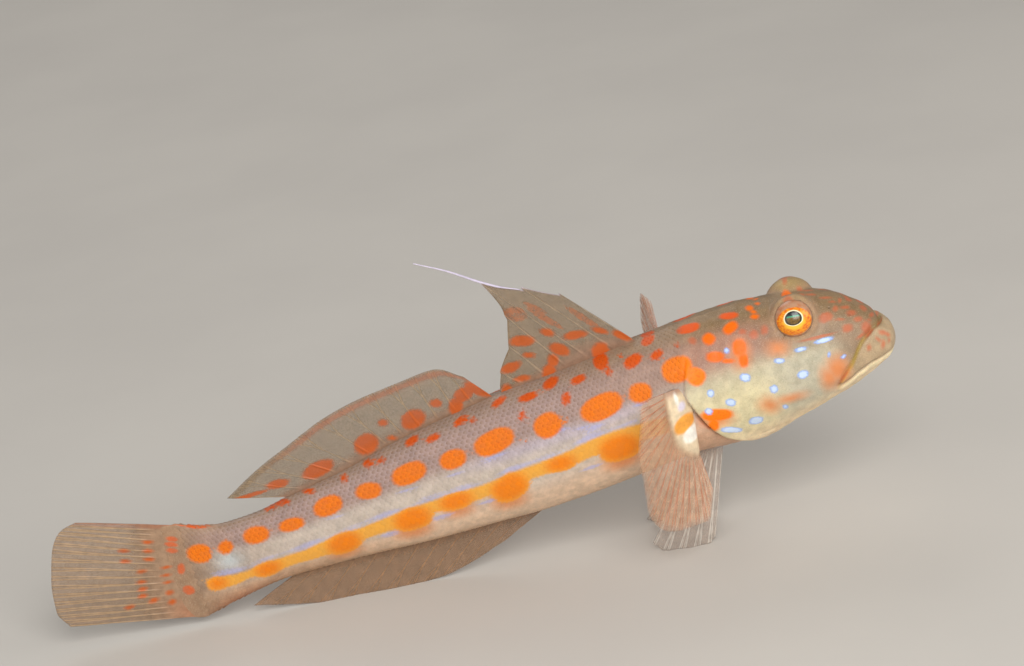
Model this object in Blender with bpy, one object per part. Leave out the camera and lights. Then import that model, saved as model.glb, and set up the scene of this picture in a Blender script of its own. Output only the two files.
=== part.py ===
"""Orange-dashed goby, Valenciennea puellaris, a life-size still model in a propped-up resting pose.

The fish faces +X and rests on the plane Z = 0, on the lower margin of its anal fin and on the tips of
its two pelvic fins. The origin is below the middle of its bounding box. Sizes are in millimetres until
the meshes are made, and the fish's right side is the one on -Y.
"""

import math

import bmesh
import bpy
import numpy as np
from mathutils import Vector

MM = 0.001
GAP = 0.3

# Axis of the body: its length and the snout's place. Its pitch, and its turn towards -Y, in degrees by
# the distance from the snout. Behind the last turn the axis lies in the plane Y = 0.
BODY_LENGTH = 129.0
SNOUT_TIP = 0.02
SNOUT_X = 75.8
SNOUT_Z = 30.9
PITCH = ((0, -0.5), (10, 0.5), (20, 10), (34, 9), (50, 13), (62, 10), (92, 10.6), (113, 10.5), (129, 5))
TURN = ((0, 5), (22, 5), (50, 0), (129, 0))

# Cross-sections: distance from the snout, height above the axis, depth below it, half width
SECTIONS = (
    (0.0, 0.0, 0.0, 0.0),
    (0.4, 1.6, 1.6, 2.3),
    (1.4, 2.7, 3.0, 3.8),
    (5.0, 6.3, 5.7, 6.0),
    (10.0, 9.1, 8.3, 7.5),
    (15.0, 10.5, 10.0, 8.3),
    (20.0, 11.1, 11.0, 8.9),
    (25.5, 11.8, 12.1, 9.4),
    (31.0, 11.8, 12.0, 9.7),
    (40.0, 11.3, 11.3, 9.3),
    (51.0, 11.5, 11.3, 8.8),
    (65.0, 11.6, 11.3, 7.9),
    (76.0, 10.9, 10.5, 6.8),
    (87.0, 9.9, 9.6, 5.7),
    (97.0, 8.3, 8.3, 4.6),
    (107.0, 7.4, 7.2, 3.7),
    (114.5, 6.6, 6.7, 3.0),
    (120.0, 6.8, 7.2, 2.3),
    (125.0, 8.0, 8.2, 1.5),
    (129.0, 9.6, 9.3, 0.9),
)
ROUNDNESS = 0.92

# Thin cuts between the fleshy parts: the gill opening, by degrees round from the back, the vent and the peduncle
GILL_OPENING = (
    (0, 33.5), (50, 35.2), (68, 36.6), (80, 37.1), (97, 36.1), (124, 33.5), (143, 30.2), (158, 27.6), (180, 26.5),
)
GILL_GAP = 0.36
VENT = 66.0
PEDUNCLE = 111.0

# Eyes, given by the distance from the snout, height above the axis and distance from the midplane
EYE_PLACE = (15.8, 8.1, 4.9)
EYE_RADIUS = 3.5
EYE_AXIS = (0.93, 0.37)
ORBIT_RADIUS = 4.1
ORBIT_SINK = 0.7
ORBIT_BLEND = 0.5
ORBIT_FOOT = 0.55
ORBIT_EDGE = 1.0
ORBIT_FADE = 2.0

# Mouth: the groove above the upper lip and the line between the lips, by distance from the snout and height.
# The groove becomes a notch in the profile where it crosses the snout, between two heights.
LIP_GROOVE = (
    (0.0, 4.0), (2.3, 3.8), (3.3, 3.8), (4.4, 3.3), (5.6, 2.4), (6.8, 1.1), (7.8, -0.3), (8.8, -1.5), (10.0, -3.1),
    (11.2, -5.0),
)
MOUTH_LINE = ((0.0, -1.2), (2.4, -1.6), (5.0, -2.0), (6.8, -2.8), (8.6, -3.8), (11.2, -5.2))
MOUTH_LENGTH = 11.0
MOUTH_SLIT = 0.5
MOUTH_DEPTH = 1.7
MOUTH_CORNER = 1.2
LIP_RELIEF = 0.45
LIP_EDGE = 0.9
LIP_NOTCH = 0.7
LIP_NOTCH_WIDTH = 0.55
LIP_NOTCH_GROWS = (1.5, 3.5)
LOWER_LIP_WIDTH = 1.7
LOWER_LIP_SHARE = 0.7
SNOUT_BLUNTNESS = 0.8

# Nostrils: distance from the snout, degrees round from the back, tube radius and height
NOSTRILS = ((7.4, 33, 0.42, 0.9), (10.6, 27, 0.5, 0.6))

# Gill cover: how far its free edge stands out, how far in front of the edge the swelling starts, and the
# degrees round from the back between which it grows and fades
GILL_COVER_RELIEF = 0.6
GILL_COVER_WIDTH = 3.0
GILL_COVER_GROWS = (45.0, 70.0)
GILL_COVER_FADES = (150.0, 180.0)
BEHIND_GILLS_SHARE = -0.5

# Swellings of the cheek and of the brow in front of the eye: distance from the snout, height above the
# axis, spread along and across, and relief
CHEEK = (22.0, -1.5, 6.0, 4.5, 0.35)
BROW = (11.0, 7.6, 2.4, 2.2, 0.2)

# Fins: thickness of the membrane at root and margin, and how far the rays stand out of it
MEMBRANE_ROOT = 0.62
MEMBRANE_MARGIN = 0.5
RAY_RELIEF = 0.2
RAY_TIP_SHARE = 0.45
RAY_WIDTH = 0.42
RAY_SHARE = 0.3

# First dorsal fin: places of the six spines and of the membrane's rear end along the back, and their tips
SPINE_ROOTS = (42.3, 45.9, 50.2, 54.5, 58.8, 63.1, 67.0)
SPINE_TIPS = ((20.6, 48.7), (14.5, 51.1), (8.6, 52.9), (10.8, 46.7), (10.5, 41.1), (8.2, 36.5), (7.8, 34.0))
MEMBRANE_NOTCH = 0.07
FILAMENT_OVERLAP = 0.3
FILAMENT = ((12.2, 50.4), (10.8, 51.7), (7.8, 53.4), (3.2, 56.0), (-2.6, 58.9))
FILAMENT_RADII = (0.42, 0.25)

# Second dorsal fin: first and last place along the back, and the tips of its thirteen elements
SECOND_DORSAL = (68.9, 108.4)
SECOND_DORSAL_RAYS = 13
SECOND_DORSAL_MARGIN = (
    (1.8, 37.0), (-2.8, 39.3), (-8.6, 38.3), (-15.5, 36.8), (-23.3, 34.2), (-30.6, 30.3), (-36.9, 26.8), (-42.3, 23.0),
)

# Anal fin: first and last place along the belly, and its margin, which rests on the ground
ANAL = (67.2, 113.0)
ANAL_RAYS = 13
ANAL_MARGIN = (
    (3.4, 5.0), (-3.5, 1.9), (-9.5, 0.3), (-15.0, -0.1), (-21.0, -0.1), (-28.0, -0.1), (-35.0, 0.6), (-42.0, 1.9),
)

# Tail fin: seventeen rays, from the end of the body to a rounded margin
CAUDAL_RAYS = 17
CAUDAL_BASE = (-9.0, 9.3)
CAUDAL_MARGIN = (
    (-74.2, 4.6), (-75.9, 7.7), (-75.8, 11.6), (-74.9, 16.2), (-73.6, 20.4), (-71.7, 22.9), (-68.8, 24.0),
)

# Paired fins, right and left: tips of the rays from the uppermost or foremost to the last
PECTORAL_PLACE = 38.8
PECTORAL_ROOT = (4.2, -6.4)
PECTORAL_GAP = 0.4
PECTORAL_RAYS = 20
PECTORAL_LOBE = 1.2
LOBE_LENGTH = 0.3
PECTORAL_RIGHT = (
    (30.3, -14.0, 32.1), (29.4, -15.9, 27.9), (28.4, -17.5, 22.9), (28.3, -18.3, 14.4), (30.4, -17.8, 9.8),
    (34.0, -16.2, 8.4), (38.2, -14.4, 8.3), (40.1, -12.4, 12.8),
)
PECTORAL_LEFT = (
    (36.5, 14.8, 38.2), (35.1, 16.8, 39.1), (34.6, 17.9, 35.7), (34.4, 18.3, 31.8),
    (34.4, 18.3, 27.6), (35.0, 17.7, 23.4), (36.3, 16.2, 19.6), (38.2, 13.8, 16.8),
)
PELVIC_PLACES = (34.4, 38.8)
PELVIC_OUT = (3.7, 1.9)
PELVIC_GAP = 0.65
PELVIC_RAYS = 6
PELVIC_TIPS = (
    (39.5, 5.7, 0.8), (38.3, 6.3, -0.1), (36.0, 6.6, -0.1), (33.4, 6.4, -0.1), (30.6, 5.9, -0.1), (28.6, 4.8, 1.4),
)

BACK = (0.62, 0.57, 0.53)
HEAD = (0.80, 0.76, 0.62)
FLANK = (0.74, 0.68, 0.60)
FIN = (0.60, 0.50, 0.38)
PALE_FIN = (0.70, 0.62, 0.50)
IRIS = (0.86, 0.42, 0.10)


def smooth_curve(table, keys):
    """Values of a table at the given keys, along a curve that keeps between its neighbours."""
    table = np.asarray(table, float)
    x, y = table[:, 0], table[:, 1:]
    step = np.diff(x)[:, None]
    slope = np.diff(y, axis=0) / step
    tangent = np.zeros_like(y)
    same = slope[:-1] * slope[1:] > 0
    both = slope[:-1] + slope[1:]
    tangent[1:-1] = np.where(same, 2 * slope[:-1] * slope[1:] / np.where(same, both, 1.0), 0.0)
    tangent[0], tangent[-1] = slope[0], slope[-1]
    keys = np.asarray(keys, float)
    i = np.clip(np.searchsorted(x, keys) - 1, 0, len(x) - 2)
    t = np.clip((keys - x[i]) / step[i, 0], 0.0, 1.0)[..., None]
    a, b = y[i], y[i + 1]
    m, n = tangent[i] * step[i], tangent[i + 1] * step[i]
    return (2 * t**3 - 3 * t**2 + 1) * a + (t**3 - 2 * t**2 + t) * m + (3 * t**2 - 2 * t**3) * b + (t**3 - t**2) * n


def ease(value):
    value = np.clip(value, 0.0, 1.0)
    return value * value * (3 - 2 * value)


def along(points, u):
    """Points at the shares u of a smooth curve through the given ones."""
    points = np.asarray(points, float)
    keys = np.linspace(0.0, 1.0, len(points))
    return smooth_curve(np.column_stack([keys, points]), u)


AXIS_STEPS = np.linspace(0.0, BODY_LENGTH, 517)
AXIS_PITCH = np.radians(smooth_curve(PITCH, AXIS_STEPS)[:, 0])
AXIS_TURN = np.radians(smooth_curve(TURN, AXIS_STEPS)[:, 0])


def travelled(values):
    steps = (values[1:] + values[:-1]) / 2 * np.diff(AXIS_STEPS)
    return np.concatenate([[0.0], np.cumsum(steps)])


AXIS_X = SNOUT_X - travelled(np.cos(AXIS_PITCH) * np.cos(AXIS_TURN))
AXIS_Y = travelled(np.cos(AXIS_PITCH) * np.sin(AXIS_TURN))
AXIS_Y = AXIS_Y - AXIS_Y[-1]
AXIS_Z = SNOUT_Z - travelled(np.sin(AXIS_PITCH))


def from_axis(s, out, height):
    """World points at a distance s from the snout, a distance out towards -Y, and a height above the axis."""
    pitch = np.interp(s, AXIS_STEPS, AXIS_PITCH)
    turn = np.interp(s, AXIS_STEPS, AXIS_TURN)
    past = np.maximum(np.asarray(s, float) - BODY_LENGTH, 0.0)
    back = past * np.cos(pitch) + height * np.sin(pitch)
    x = np.interp(s, AXIS_STEPS, AXIS_X) - back * np.cos(turn) - out * np.sin(turn)
    y = np.interp(s, AXIS_STEPS, AXIS_Y) + back * np.sin(turn) - out * np.cos(turn)
    z = np.interp(s, AXIS_STEPS, AXIS_Z) - past * np.sin(pitch) + height * np.cos(pitch)
    return np.stack(np.broadcast_arrays(x, y, z), axis=-1)


def section_sizes(s):
    """Height above the axis, depth below it and half width. The root keeps the snout round."""
    table = np.asarray(SECTIONS, float)
    table[:, 0] = np.sqrt(table[:, 0])
    return np.moveaxis(smooth_curve(table, np.sqrt(np.clip(s, 0.0, BODY_LENGTH))), -1, 0)


def gill_opening(angle):
    turn = np.degrees(np.arccos(np.cos(angle)))
    return smooth_curve(GILL_OPENING, turn)[..., 0]


def height_on(line, s):
    """Height of the lip's groove or of the mouth's line at a distance from the snout."""
    return smooth_curve(line, np.clip(s, 0.0, line[-1][0]))[..., 0]


def face_relief(s, height):
    """How far the lips, the cheek and the brow stand out of the head's plain section."""
    groove = height_on(LIP_GROOVE, s)
    line = height_on(MOUTH_LINE, s)
    front = 1.0 - ease((s - MOUTH_LENGTH) / MOUTH_CORNER + 0.5)
    upper = ease((groove - height) / LIP_EDGE) * ease((height - line) / MOUTH_SLIT + 0.5)
    below = np.clip((line - height) / LOWER_LIP_WIDTH, 0.0, 1.0)
    relief = LIP_RELIEF * front * (upper + LOWER_LIP_SHARE * np.sin(np.pi * below))
    low, high = LIP_NOTCH_GROWS
    notch = ease((height - low) / (high - low)) * np.exp(-(((height - groove) / LIP_NOTCH_WIDTH) ** 2))
    relief = relief - LIP_NOTCH * front * notch
    for place, level, length, width, rise in (CHEEK, BROW):
        relief = relief + rise * np.exp(-(((s - place) / length) ** 2) - ((height - level) / width) ** 2)
    return relief


def gill_relief(s, angle):
    """The gill cover's edge stands out, and the body starts a little inside it."""
    turn = np.degrees(np.arccos(np.cos(angle)))
    grows, fades = ((turn - low) / (high - low) for low, high in (GILL_COVER_GROWS, GILL_COVER_FADES))
    ahead = gill_opening(angle) - s
    edge = np.where(ahead >= 0, 1.0, BEHIND_GILLS_SHARE) * np.exp(-((ahead / GILL_COVER_WIDTH) ** 2))
    return GILL_COVER_RELIEF * ease(grows) * (1.0 - ease(fades) / 2) * edge


def eye_frame(side):
    """Centre of an eye, the way it looks and the centre of its orbit. The side is 1 on -Y, and -1 on +Y."""
    s, height, out = EYE_PLACE
    centre = from_axis(s, side * out, height)
    look = from_axis(s, side * EYE_AXIS[0], EYE_AXIS[1]) - from_axis(s, 0.0, 0.0)
    look /= np.linalg.norm(look)
    return centre, look, centre - ORBIT_SINK * look


def swell_orbits(points):
    """Pushes the points near each eye out to a sphere round it, which makes the raised orbit."""
    for side in (1, -1):
        _, look, orbit = eye_frame(side)
        inside = orbit - ORBIT_FOOT * ORBIT_RADIUS * look
        ray = points - inside
        far = np.linalg.norm(ray, axis=-1)
        ray /= far[..., None]
        to_orbit = ray @ (orbit - inside)
        reach = to_orbit + np.sqrt(ORBIT_RADIUS**2 * (1.0 - ORBIT_FOOT**2) + to_orbit**2)
        wide = (far + reach + np.sqrt((far - reach) ** 2 + ORBIT_BLEND**2)) / 2
        near = 1.0 - ease((far - reach - ORBIT_EDGE) / ORBIT_FADE)
        points = inside + ray * (far + near * (wide - far))[..., None]
    return points


def body_surface(s, angle):
    """World points of the skin, by distance from the snout and angle round from the back towards -Y."""
    up, down, half = section_sizes(s)
    c, d = np.cos(angle), np.sin(angle)
    height = np.where(c > 0, up, down) * np.sign(c) * np.abs(c) ** ROUNDNESS
    out = half * np.sign(d) * np.abs(d) ** ROUNDNESS
    reach = np.maximum(np.hypot(height, out), 1e-6)
    grown = 1.0 + (face_relief(s, height) + gill_relief(s, angle)) * ease(s / SNOUT_BLUNTNESS) / reach
    return swell_orbits(from_axis(s, out * grown, height * grown))


def new_object(name, points, faces, collection, colour, roughness):
    mesh = bpy.data.meshes.new(name)
    mesh.from_pydata([tuple(p) for p in np.asarray(points) * MM], [], faces)
    mesh.update()
    obj = bpy.data.objects.new(name, mesh)
    collection.objects.link(obj)
    obj.data.materials.append(new_material(name, colour, roughness))
    mesh.shade_smooth()
    return obj


def new_material(name, colour, roughness):
    material = bpy.data.materials.new(name)
    material.use_nodes = True
    shader = material.node_tree.nodes["Principled BSDF"]
    shader.inputs["Base Color"].default_value = (*colour, 1.0)
    shader.inputs["Roughness"].default_value = roughness
    shader.inputs["Metallic"].default_value = 0.0
    return material


def flesh(name, start, end, rows, columns, crowd, collection, colour):
    """A closed length of the body between two cuts, each a distance from the snout for every angle."""
    angles = np.arange(columns) * 2 * math.pi / columns
    first = start(angles)
    last = end(angles)
    shares = np.linspace(0.0, 1.0, rows) ** crowd
    s = first[None, :] + (last - first)[None, :] * shares[:, None]
    points = body_surface(s, np.broadcast_to(angles, s.shape)).reshape(-1, 3)
    front = from_axis(first.mean(), 0.0, 0.0)
    back = from_axis(last.mean(), 0.0, 0.0)
    points = np.vstack([points, front, back])
    faces = []
    for i in range(rows - 1):
        for j in range(columns):
            k = (j + 1) % columns
            faces.append((i * columns + j, i * columns + k, (i + 1) * columns + k, (i + 1) * columns + j))
    centre = rows * columns
    for j in range(columns):
        k = (j + 1) % columns
        faces.append((centre, k, j))
        faces.append((centre + 1, (rows - 1) * columns + j, (rows - 1) * columns + k))
    return new_object(name, points, faces, collection, colour, 0.45)


def fin(name, rays, root, tip, collection, colour, rows=6, flanks=True, lobe=0.0, across=None, ground=False):
    """A thin fin between its root curve and its margin, with its rays raised in both faces.

    The root and the tip give points for shares of the fin's width. A lobe thickens the root, where the
    faces lie apart along the body, in the direction across.
    """
    spacing = 1.0 / (rays - 1)
    flank = min(RAY_WIDTH / np.linalg.norm(tip(1.0) - tip(0.0)), RAY_SHARE * spacing)
    columns = []
    for ray in range(rays):
        at = ray * spacing
        if flanks and ray > 0:
            columns.append((at - flank, 0.0))
        columns.append((at, 1.0))
        if flanks and ray < rays - 1:
            columns.append((at + flank, 0.0))
        if ray < rays - 1:
            columns.append((at + spacing / 2, 0.0))
    u = np.array([column[0] for column in columns])
    raised = np.array([column[1] for column in columns])
    t = np.linspace(0.0, 1.0, rows)
    roots = np.array([root(value) for value in u])
    tips = np.array([tip(value) for value in u])
    middle = roots[:, None] + (tips - roots)[:, None] * t[None, :, None]
    across_u = np.gradient(middle, axis=0)
    across_t = np.gradient(middle, axis=1)
    normal = np.cross(across_u, across_t)
    normal /= np.linalg.norm(normal, axis=-1)[..., None]
    half = (MEMBRANE_ROOT + (MEMBRANE_MARGIN - MEMBRANE_ROOT) * t[None, :]) / 2
    half = half + RAY_RELIEF * raised[:, None] * (1.0 + (RAY_TIP_SHARE - 1.0) * t[None, :])
    if lobe:
        fleshy = 1.0 - ease(t[None, :] / LOBE_LENGTH)
        half = half + lobe * fleshy * (1.0 - (2 * u[:, None] - 1) ** 2 / 2)
        sign = np.sign((normal * across).sum(-1))[..., None]
        normal = normal + (sign * across - normal) * fleshy[..., None]
    shape = middle.shape[:2]
    points = np.concatenate([middle + normal * half[..., None], middle - normal * half[..., None]])
    points = points.reshape(-1, 3)
    if ground:
        points[:, 2] = np.maximum(points[:, 2], 0.0)
    return new_object(name, points, lattice_faces(*shape), collection, colour, 0.4)


def lattice_faces(columns, rows):
    """Triangles of a thin sheet's two faces, split alike, and of the rim between them."""
    back = columns * rows
    faces = []
    for i in range(columns - 1):
        for j in range(rows - 1):
            a, b = i * rows + j, (i + 1) * rows + j
            c, d = b + 1, a + 1
            faces += [(a, b, c), (a, c, d), (back + a, back + c, back + b), (back + a, back + d, back + c)]
    rim = [i * rows for i in range(columns)]
    rim += [(columns - 1) * rows + j for j in range(1, rows)]
    rim += [i * rows + rows - 1 for i in range(columns - 2, -1, -1)]
    rim += list(range(rows - 2, 0, -1))
    for a, b in zip(rim, rim[1:] + rim[:1]):
        faces += [(a, back + a, back + b), (a, back + b, b)]
    return faces


def face_out(obj):
    bm = bmesh.new()
    bm.from_mesh(obj.data)
    bmesh.ops.recalc_face_normals(bm, faces=bm.faces)
    bm.to_mesh(obj.data)
    bm.free()


def keep_largest(obj):
    """Keeps only the largest closed surface of a mesh."""
    bm = bmesh.new()
    bm.from_mesh(obj.data)
    left = set(bm.faces)
    pieces = []
    while left:
        piece = {left.pop()}
        edge = list(piece)
        while edge:
            face = edge.pop()
            near = {other for line in face.edges for other in line.link_faces if other in left}
            left -= near
            piece |= near
            edge += list(near)
        pieces.append(piece)
    largest = max(pieces, key=lambda piece: sum(face.calc_area() for face in piece))
    bmesh.ops.delete(bm, geom=[face for face in bm.faces if face not in largest], context="FACES")
    bm.to_mesh(obj.data)
    bm.free()


def combine(target, tool, operation):
    """Applies one Boolean with a tool object, which is then removed."""
    modifier = target.modifiers.new(tool.name, "BOOLEAN")
    modifier.object = tool
    modifier.operation = operation
    bpy.context.view_layer.update()
    graph = bpy.context.evaluated_depsgraph_get()
    mesh = bpy.data.meshes.new_from_object(target.evaluated_get(graph))
    target.modifiers.clear()
    old = target.data
    target.data = mesh
    bpy.data.meshes.remove(old)
    bpy.data.objects.remove(tool)
    keep_largest(target)


def ball(name, centre, look, radius, segments, rings, collection, colour):
    """A sphere whose pole points the way the eye looks."""
    bm = bmesh.new()
    bmesh.ops.create_uvsphere(bm, u_segments=segments, v_segments=rings, radius=radius * MM)
    mesh = bpy.data.meshes.new(name)
    bm.to_mesh(mesh)
    bm.free()
    obj = bpy.data.objects.new(name, mesh)
    obj.rotation_mode = "QUATERNION"
    obj.rotation_quaternion = Vector(look).to_track_quat("Z", "Y")
    obj.location = Vector(centre) * MM
    collection.objects.link(obj)
    mesh.materials.append(new_material(name, colour, 0.15))
    mesh.shade_smooth()
    return obj


def cone(name, foot, top, radii, sides, collection):
    """A closed tapering tube from foot to top."""
    foot, top = Vector(foot) * MM, Vector(top) * MM
    bm = bmesh.new()
    bmesh.ops.create_cone(
        bm, cap_ends=True, segments=sides, radius1=radii[0] * MM, radius2=radii[1] * MM, depth=(top - foot).length
    )
    mesh = bpy.data.meshes.new(name)
    bm.to_mesh(mesh)
    bm.free()
    obj = bpy.data.objects.new(name, mesh)
    obj.rotation_mode = "QUATERNION"
    obj.rotation_quaternion = (top - foot).to_track_quat("Z", "Y")
    obj.location = (foot + top) / 2
    collection.objects.link(obj)
    return obj


def mouth_cutter(collection):
    """A thin horseshoe plate that follows the line between the lips, deeper inside than the lips are thick."""
    s = np.concatenate([[-1.5], np.linspace(0.6, MOUTH_LENGTH, 9)])
    height = height_on(MOUTH_LINE, s)
    _, down, half = section_sizes(np.maximum(s, 0.0))
    level = np.clip(np.abs(height) / np.maximum(down, 1e-3), 0.0, 1.0)
    width = half * np.sqrt(1.0 - level**2)
    inner = np.maximum(width - MOUTH_DEPTH, 0.0)
    inner[s < 2.0 + MOUTH_DEPTH] = 0.0
    points = []
    for side in (1, -1):
        for share in (inner, width + 3.0):
            for lift in (-MOUTH_SLIT / 2, MOUTH_SLIT / 2):
                points.append(from_axis(s, side * share, height + lift))
    count = len(s)
    points = np.vstack(points)
    start = int(np.argmax(inner > 0))
    obj_faces = []
    for side in range(2):
        base = side * 4 * count
        low_in, high_in, low_out, high_out = (base + k * count for k in range(4))
        for i in range(count - 1):
            obj_faces.append((low_in + i, low_in + i + 1, low_out + i + 1, low_out + i))
            obj_faces.append((high_in + i, high_out + i, high_out + i + 1, high_in + i + 1))
            obj_faces.append((low_out + i, low_out + i + 1, high_out + i + 1, high_out + i))
            if i >= start - 1:
                obj_faces.append((low_in + i, high_in + i, high_in + i + 1, low_in + i + 1))
        obj_faces.append((low_in, low_out, high_out, high_in))
        last = count - 1
        obj_faces.append((low_in + last, high_in + last, high_out + last, low_out + last))
    mesh = bpy.data.meshes.new("mouth_cutter")
    mesh.from_pydata([tuple(p) for p in points * MM], [], obj_faces)
    bm = bmesh.new()
    bm.from_mesh(mesh)
    bmesh.ops.remove_doubles(bm, verts=bm.verts, dist=1e-6)
    bmesh.ops.recalc_face_normals(bm, faces=bm.faces)
    bm.to_mesh(mesh)
    bm.free()
    obj = bpy.data.objects.new("mouth_cutter", mesh)
    collection.objects.link(obj)
    return obj


def at(place):
    """A cut straight across the body."""
    return lambda angles: np.full_like(angles, place)


def behind_gills(angles):
    return gill_opening(angles) + GILL_GAP


def make_head(fish, cutters):
    head = flesh("head", at(SNOUT_TIP), gill_opening, 34, 48, 1.45, fish, HEAD)
    face_out(head)
    for s, degrees, radius, tall in NOSTRILS:
        for side in (1, -1):
            angle = side * math.radians(degrees)
            foot = body_surface(np.array(s), np.array(angle))
            out = foot - from_axis(s, 0.0, 0.0)
            out /= np.linalg.norm(out)
            tube = cone("nostril", foot - out * 1.0, foot + out * tall, (radius * 1.3, radius), 8, cutters)
            combine(head, tube, "UNION")
    for side in (1, -1):
        centre, look, _ = eye_frame(side)
        socket = ball("socket", centre, look, EYE_RADIUS + GAP, 24, 14, cutters, IRIS)
        combine(head, socket, "DIFFERENCE")
    combine(head, mouth_cutter(cutters), "DIFFERENCE")
    return head


def make_body(fish):
    parts = [
        flesh("trunk", behind_gills, at(VENT - GAP / 2), 15, 36, 1.0, fish, FLANK),
        flesh("tail", at(VENT + GAP / 2), at(PEDUNCLE - GAP / 2), 15, 32, 1.0, fish, FLANK),
        flesh("caudal_peduncle", at(PEDUNCLE + GAP / 2), at(BODY_LENGTH), 9, 28, 1.0, fish, BACK),
    ]
    for part in parts:
        face_out(part)


def make_eyes(fish):
    for name, side in (("eye_right", 1), ("eye_left", -1)):
        centre, look, _ = eye_frame(side)
        ball(name, centre, look, EYE_RADIUS, 20, 12, fish, IRIS)


def on_back(s):
    up, _, _ = section_sizes(s)
    return from_axis(s, 0.0, up + GAP)


def on_belly(s):
    _, down, _ = section_sizes(s)
    return from_axis(s, 0.0, -down - GAP)


def make_first_dorsal(fish, cutters):
    places = np.array(SPINE_ROOTS)
    keys = np.linspace(0.0, 1.0, len(places))
    tips = np.array([(x, 0.0, z) for x, z in SPINE_TIPS])

    def root(u):
        return on_back(np.interp(u, keys, places))

    def tip(u):
        point = np.array([np.interp(u, keys, tips[:, axis]) for axis in range(3)])
        share = u * (len(keys) - 1) % 1.0
        return point + (root(u) - point) * MEMBRANE_NOTCH * math.sin(math.pi * share)

    membrane = fin("first_dorsal_fin", len(places), root, tip, fish, FIN)
    face_out(membrane)
    path = [(x, 0.0, z) for x, z in FILAMENT]
    radii = np.linspace(*FILAMENT_RADII, len(path))
    for i in range(len(path) - 1):
        back = Vector(path[i]) - (Vector(path[i + 1]) - Vector(path[i])).normalized() * FILAMENT_OVERLAP
        piece = cone("filament", back, path[i + 1], (radii[i], radii[i + 1]), 7, cutters)
        combine(membrane, piece, "UNION")


def make_median_fins(fish):
    def second_root(u):
        return on_back(SECOND_DORSAL[0] + (SECOND_DORSAL[1] - SECOND_DORSAL[0]) * u)

    def anal_root(u):
        return on_belly(ANAL[0] + (ANAL[1] - ANAL[0]) * u)

    def second_tip(u):
        x, z = along(SECOND_DORSAL_MARGIN, u)
        return np.array([x, 0.0, z])

    def anal_tip(u):
        x, z = along(ANAL_MARGIN, u)
        return np.array([x, 0.0, z])

    def caudal_root(u):
        return from_axis(BODY_LENGTH + GAP, 0.0, CAUDAL_BASE[0] + (CAUDAL_BASE[1] - CAUDAL_BASE[0]) * u)

    def caudal_tip(u):
        x, z = along(CAUDAL_MARGIN, u)
        return np.array([x, 0.0, z])

    fins = [
        fin("second_dorsal_fin", SECOND_DORSAL_RAYS, second_root, second_tip, fish, FIN, rows=5),
        fin("anal_fin", ANAL_RAYS, anal_root, anal_tip, fish, PALE_FIN, rows=5, ground=True),
        fin("caudal_fin", CAUDAL_RAYS, caudal_root, caudal_tip, fish, FIN, rows=7, flanks=False),
    ]
    for obj in fins:
        face_out(obj)


def side_of_body(s, height, gap):
    """A point beside the body, and the way along it, for a root on the side towards -Y."""
    angle = np.radians(np.linspace(30.0, 150.0, 61))
    ring = body_surface(np.full_like(angle, s), angle)
    axis = from_axis(s, 0.0, height)
    order = np.argsort(ring[:, 2])
    y = np.interp(axis[2], ring[order, 2], ring[order, 1])
    return np.array([axis[0], y - gap, axis[2]])


def make_paired_fins(fish):
    def root_of(side):
        def root(u):
            height = PECTORAL_ROOT[0] + (PECTORAL_ROOT[1] - PECTORAL_ROOT[0]) * u
            point = side_of_body(PECTORAL_PLACE, height, PECTORAL_GAP)
            return point * np.array([1.0, side, 1.0])
        return root

    def pelvic_root_of(side):
        def root(u):
            s = PELVIC_PLACES[0] + (PELVIC_PLACES[1] - PELVIC_PLACES[0]) * u
            out = PELVIC_OUT[0] + (PELVIC_OUT[1] - PELVIC_OUT[0]) * u
            _, down, half = section_sizes(s)
            height = -down * math.sqrt(1.0 - (out / half) ** 2) - PELVIC_GAP
            return from_axis(s, side * out, height)
        return root

    backward = np.array([-1.0, 0.0, 0.0])
    for name, side, tips in (("right", 1, PECTORAL_RIGHT), ("left", -1, PECTORAL_LEFT)):
        obj = fin(
            f"pectoral_fin_{name}", PECTORAL_RAYS, root_of(side), lambda u, tips=tips: along(tips, u), fish,
            PALE_FIN, rows=7, flanks=False, lobe=PECTORAL_LOBE, across=backward,
        )
        face_out(obj)
        tips = [(x, -side * y, z) for x, y, z in PELVIC_TIPS]
        obj = fin(
            f"pelvic_fin_{name}", PELVIC_RAYS, pelvic_root_of(side), lambda u, tips=tips: along(tips, u), fish,
            PALE_FIN, rows=6, ground=True,
        )
        face_out(obj)


def main():
    for obj in list(bpy.data.objects):
        bpy.data.objects.remove(obj)
    fish = bpy.data.collections.new("orange_dashed_goby")
    cutters = bpy.data.collections.new("cutters")
    bpy.context.scene.collection.children.link(fish)
    bpy.context.scene.collection.children.link(cutters)
    make_head(fish, cutters)
    make_body(fish)
    make_eyes(fish)
    make_first_dorsal(fish, cutters)
    make_median_fins(fish)
    make_paired_fins(fish)


main()
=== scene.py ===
"""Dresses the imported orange-dashed goby with its skin, scales, eyes and fins, on a plain floor in soft light.

Sizes are in millimetres until the meshes are made. A place on the body is a distance s from the snout and
an angle round from the back, 0 at the back, 90 at the fish's right side (-Y) and 180 at the belly.
"""

import math
from functools import partial

import bmesh
import bpy
import numpy as np
from mathutils import Matrix, Vector


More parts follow.
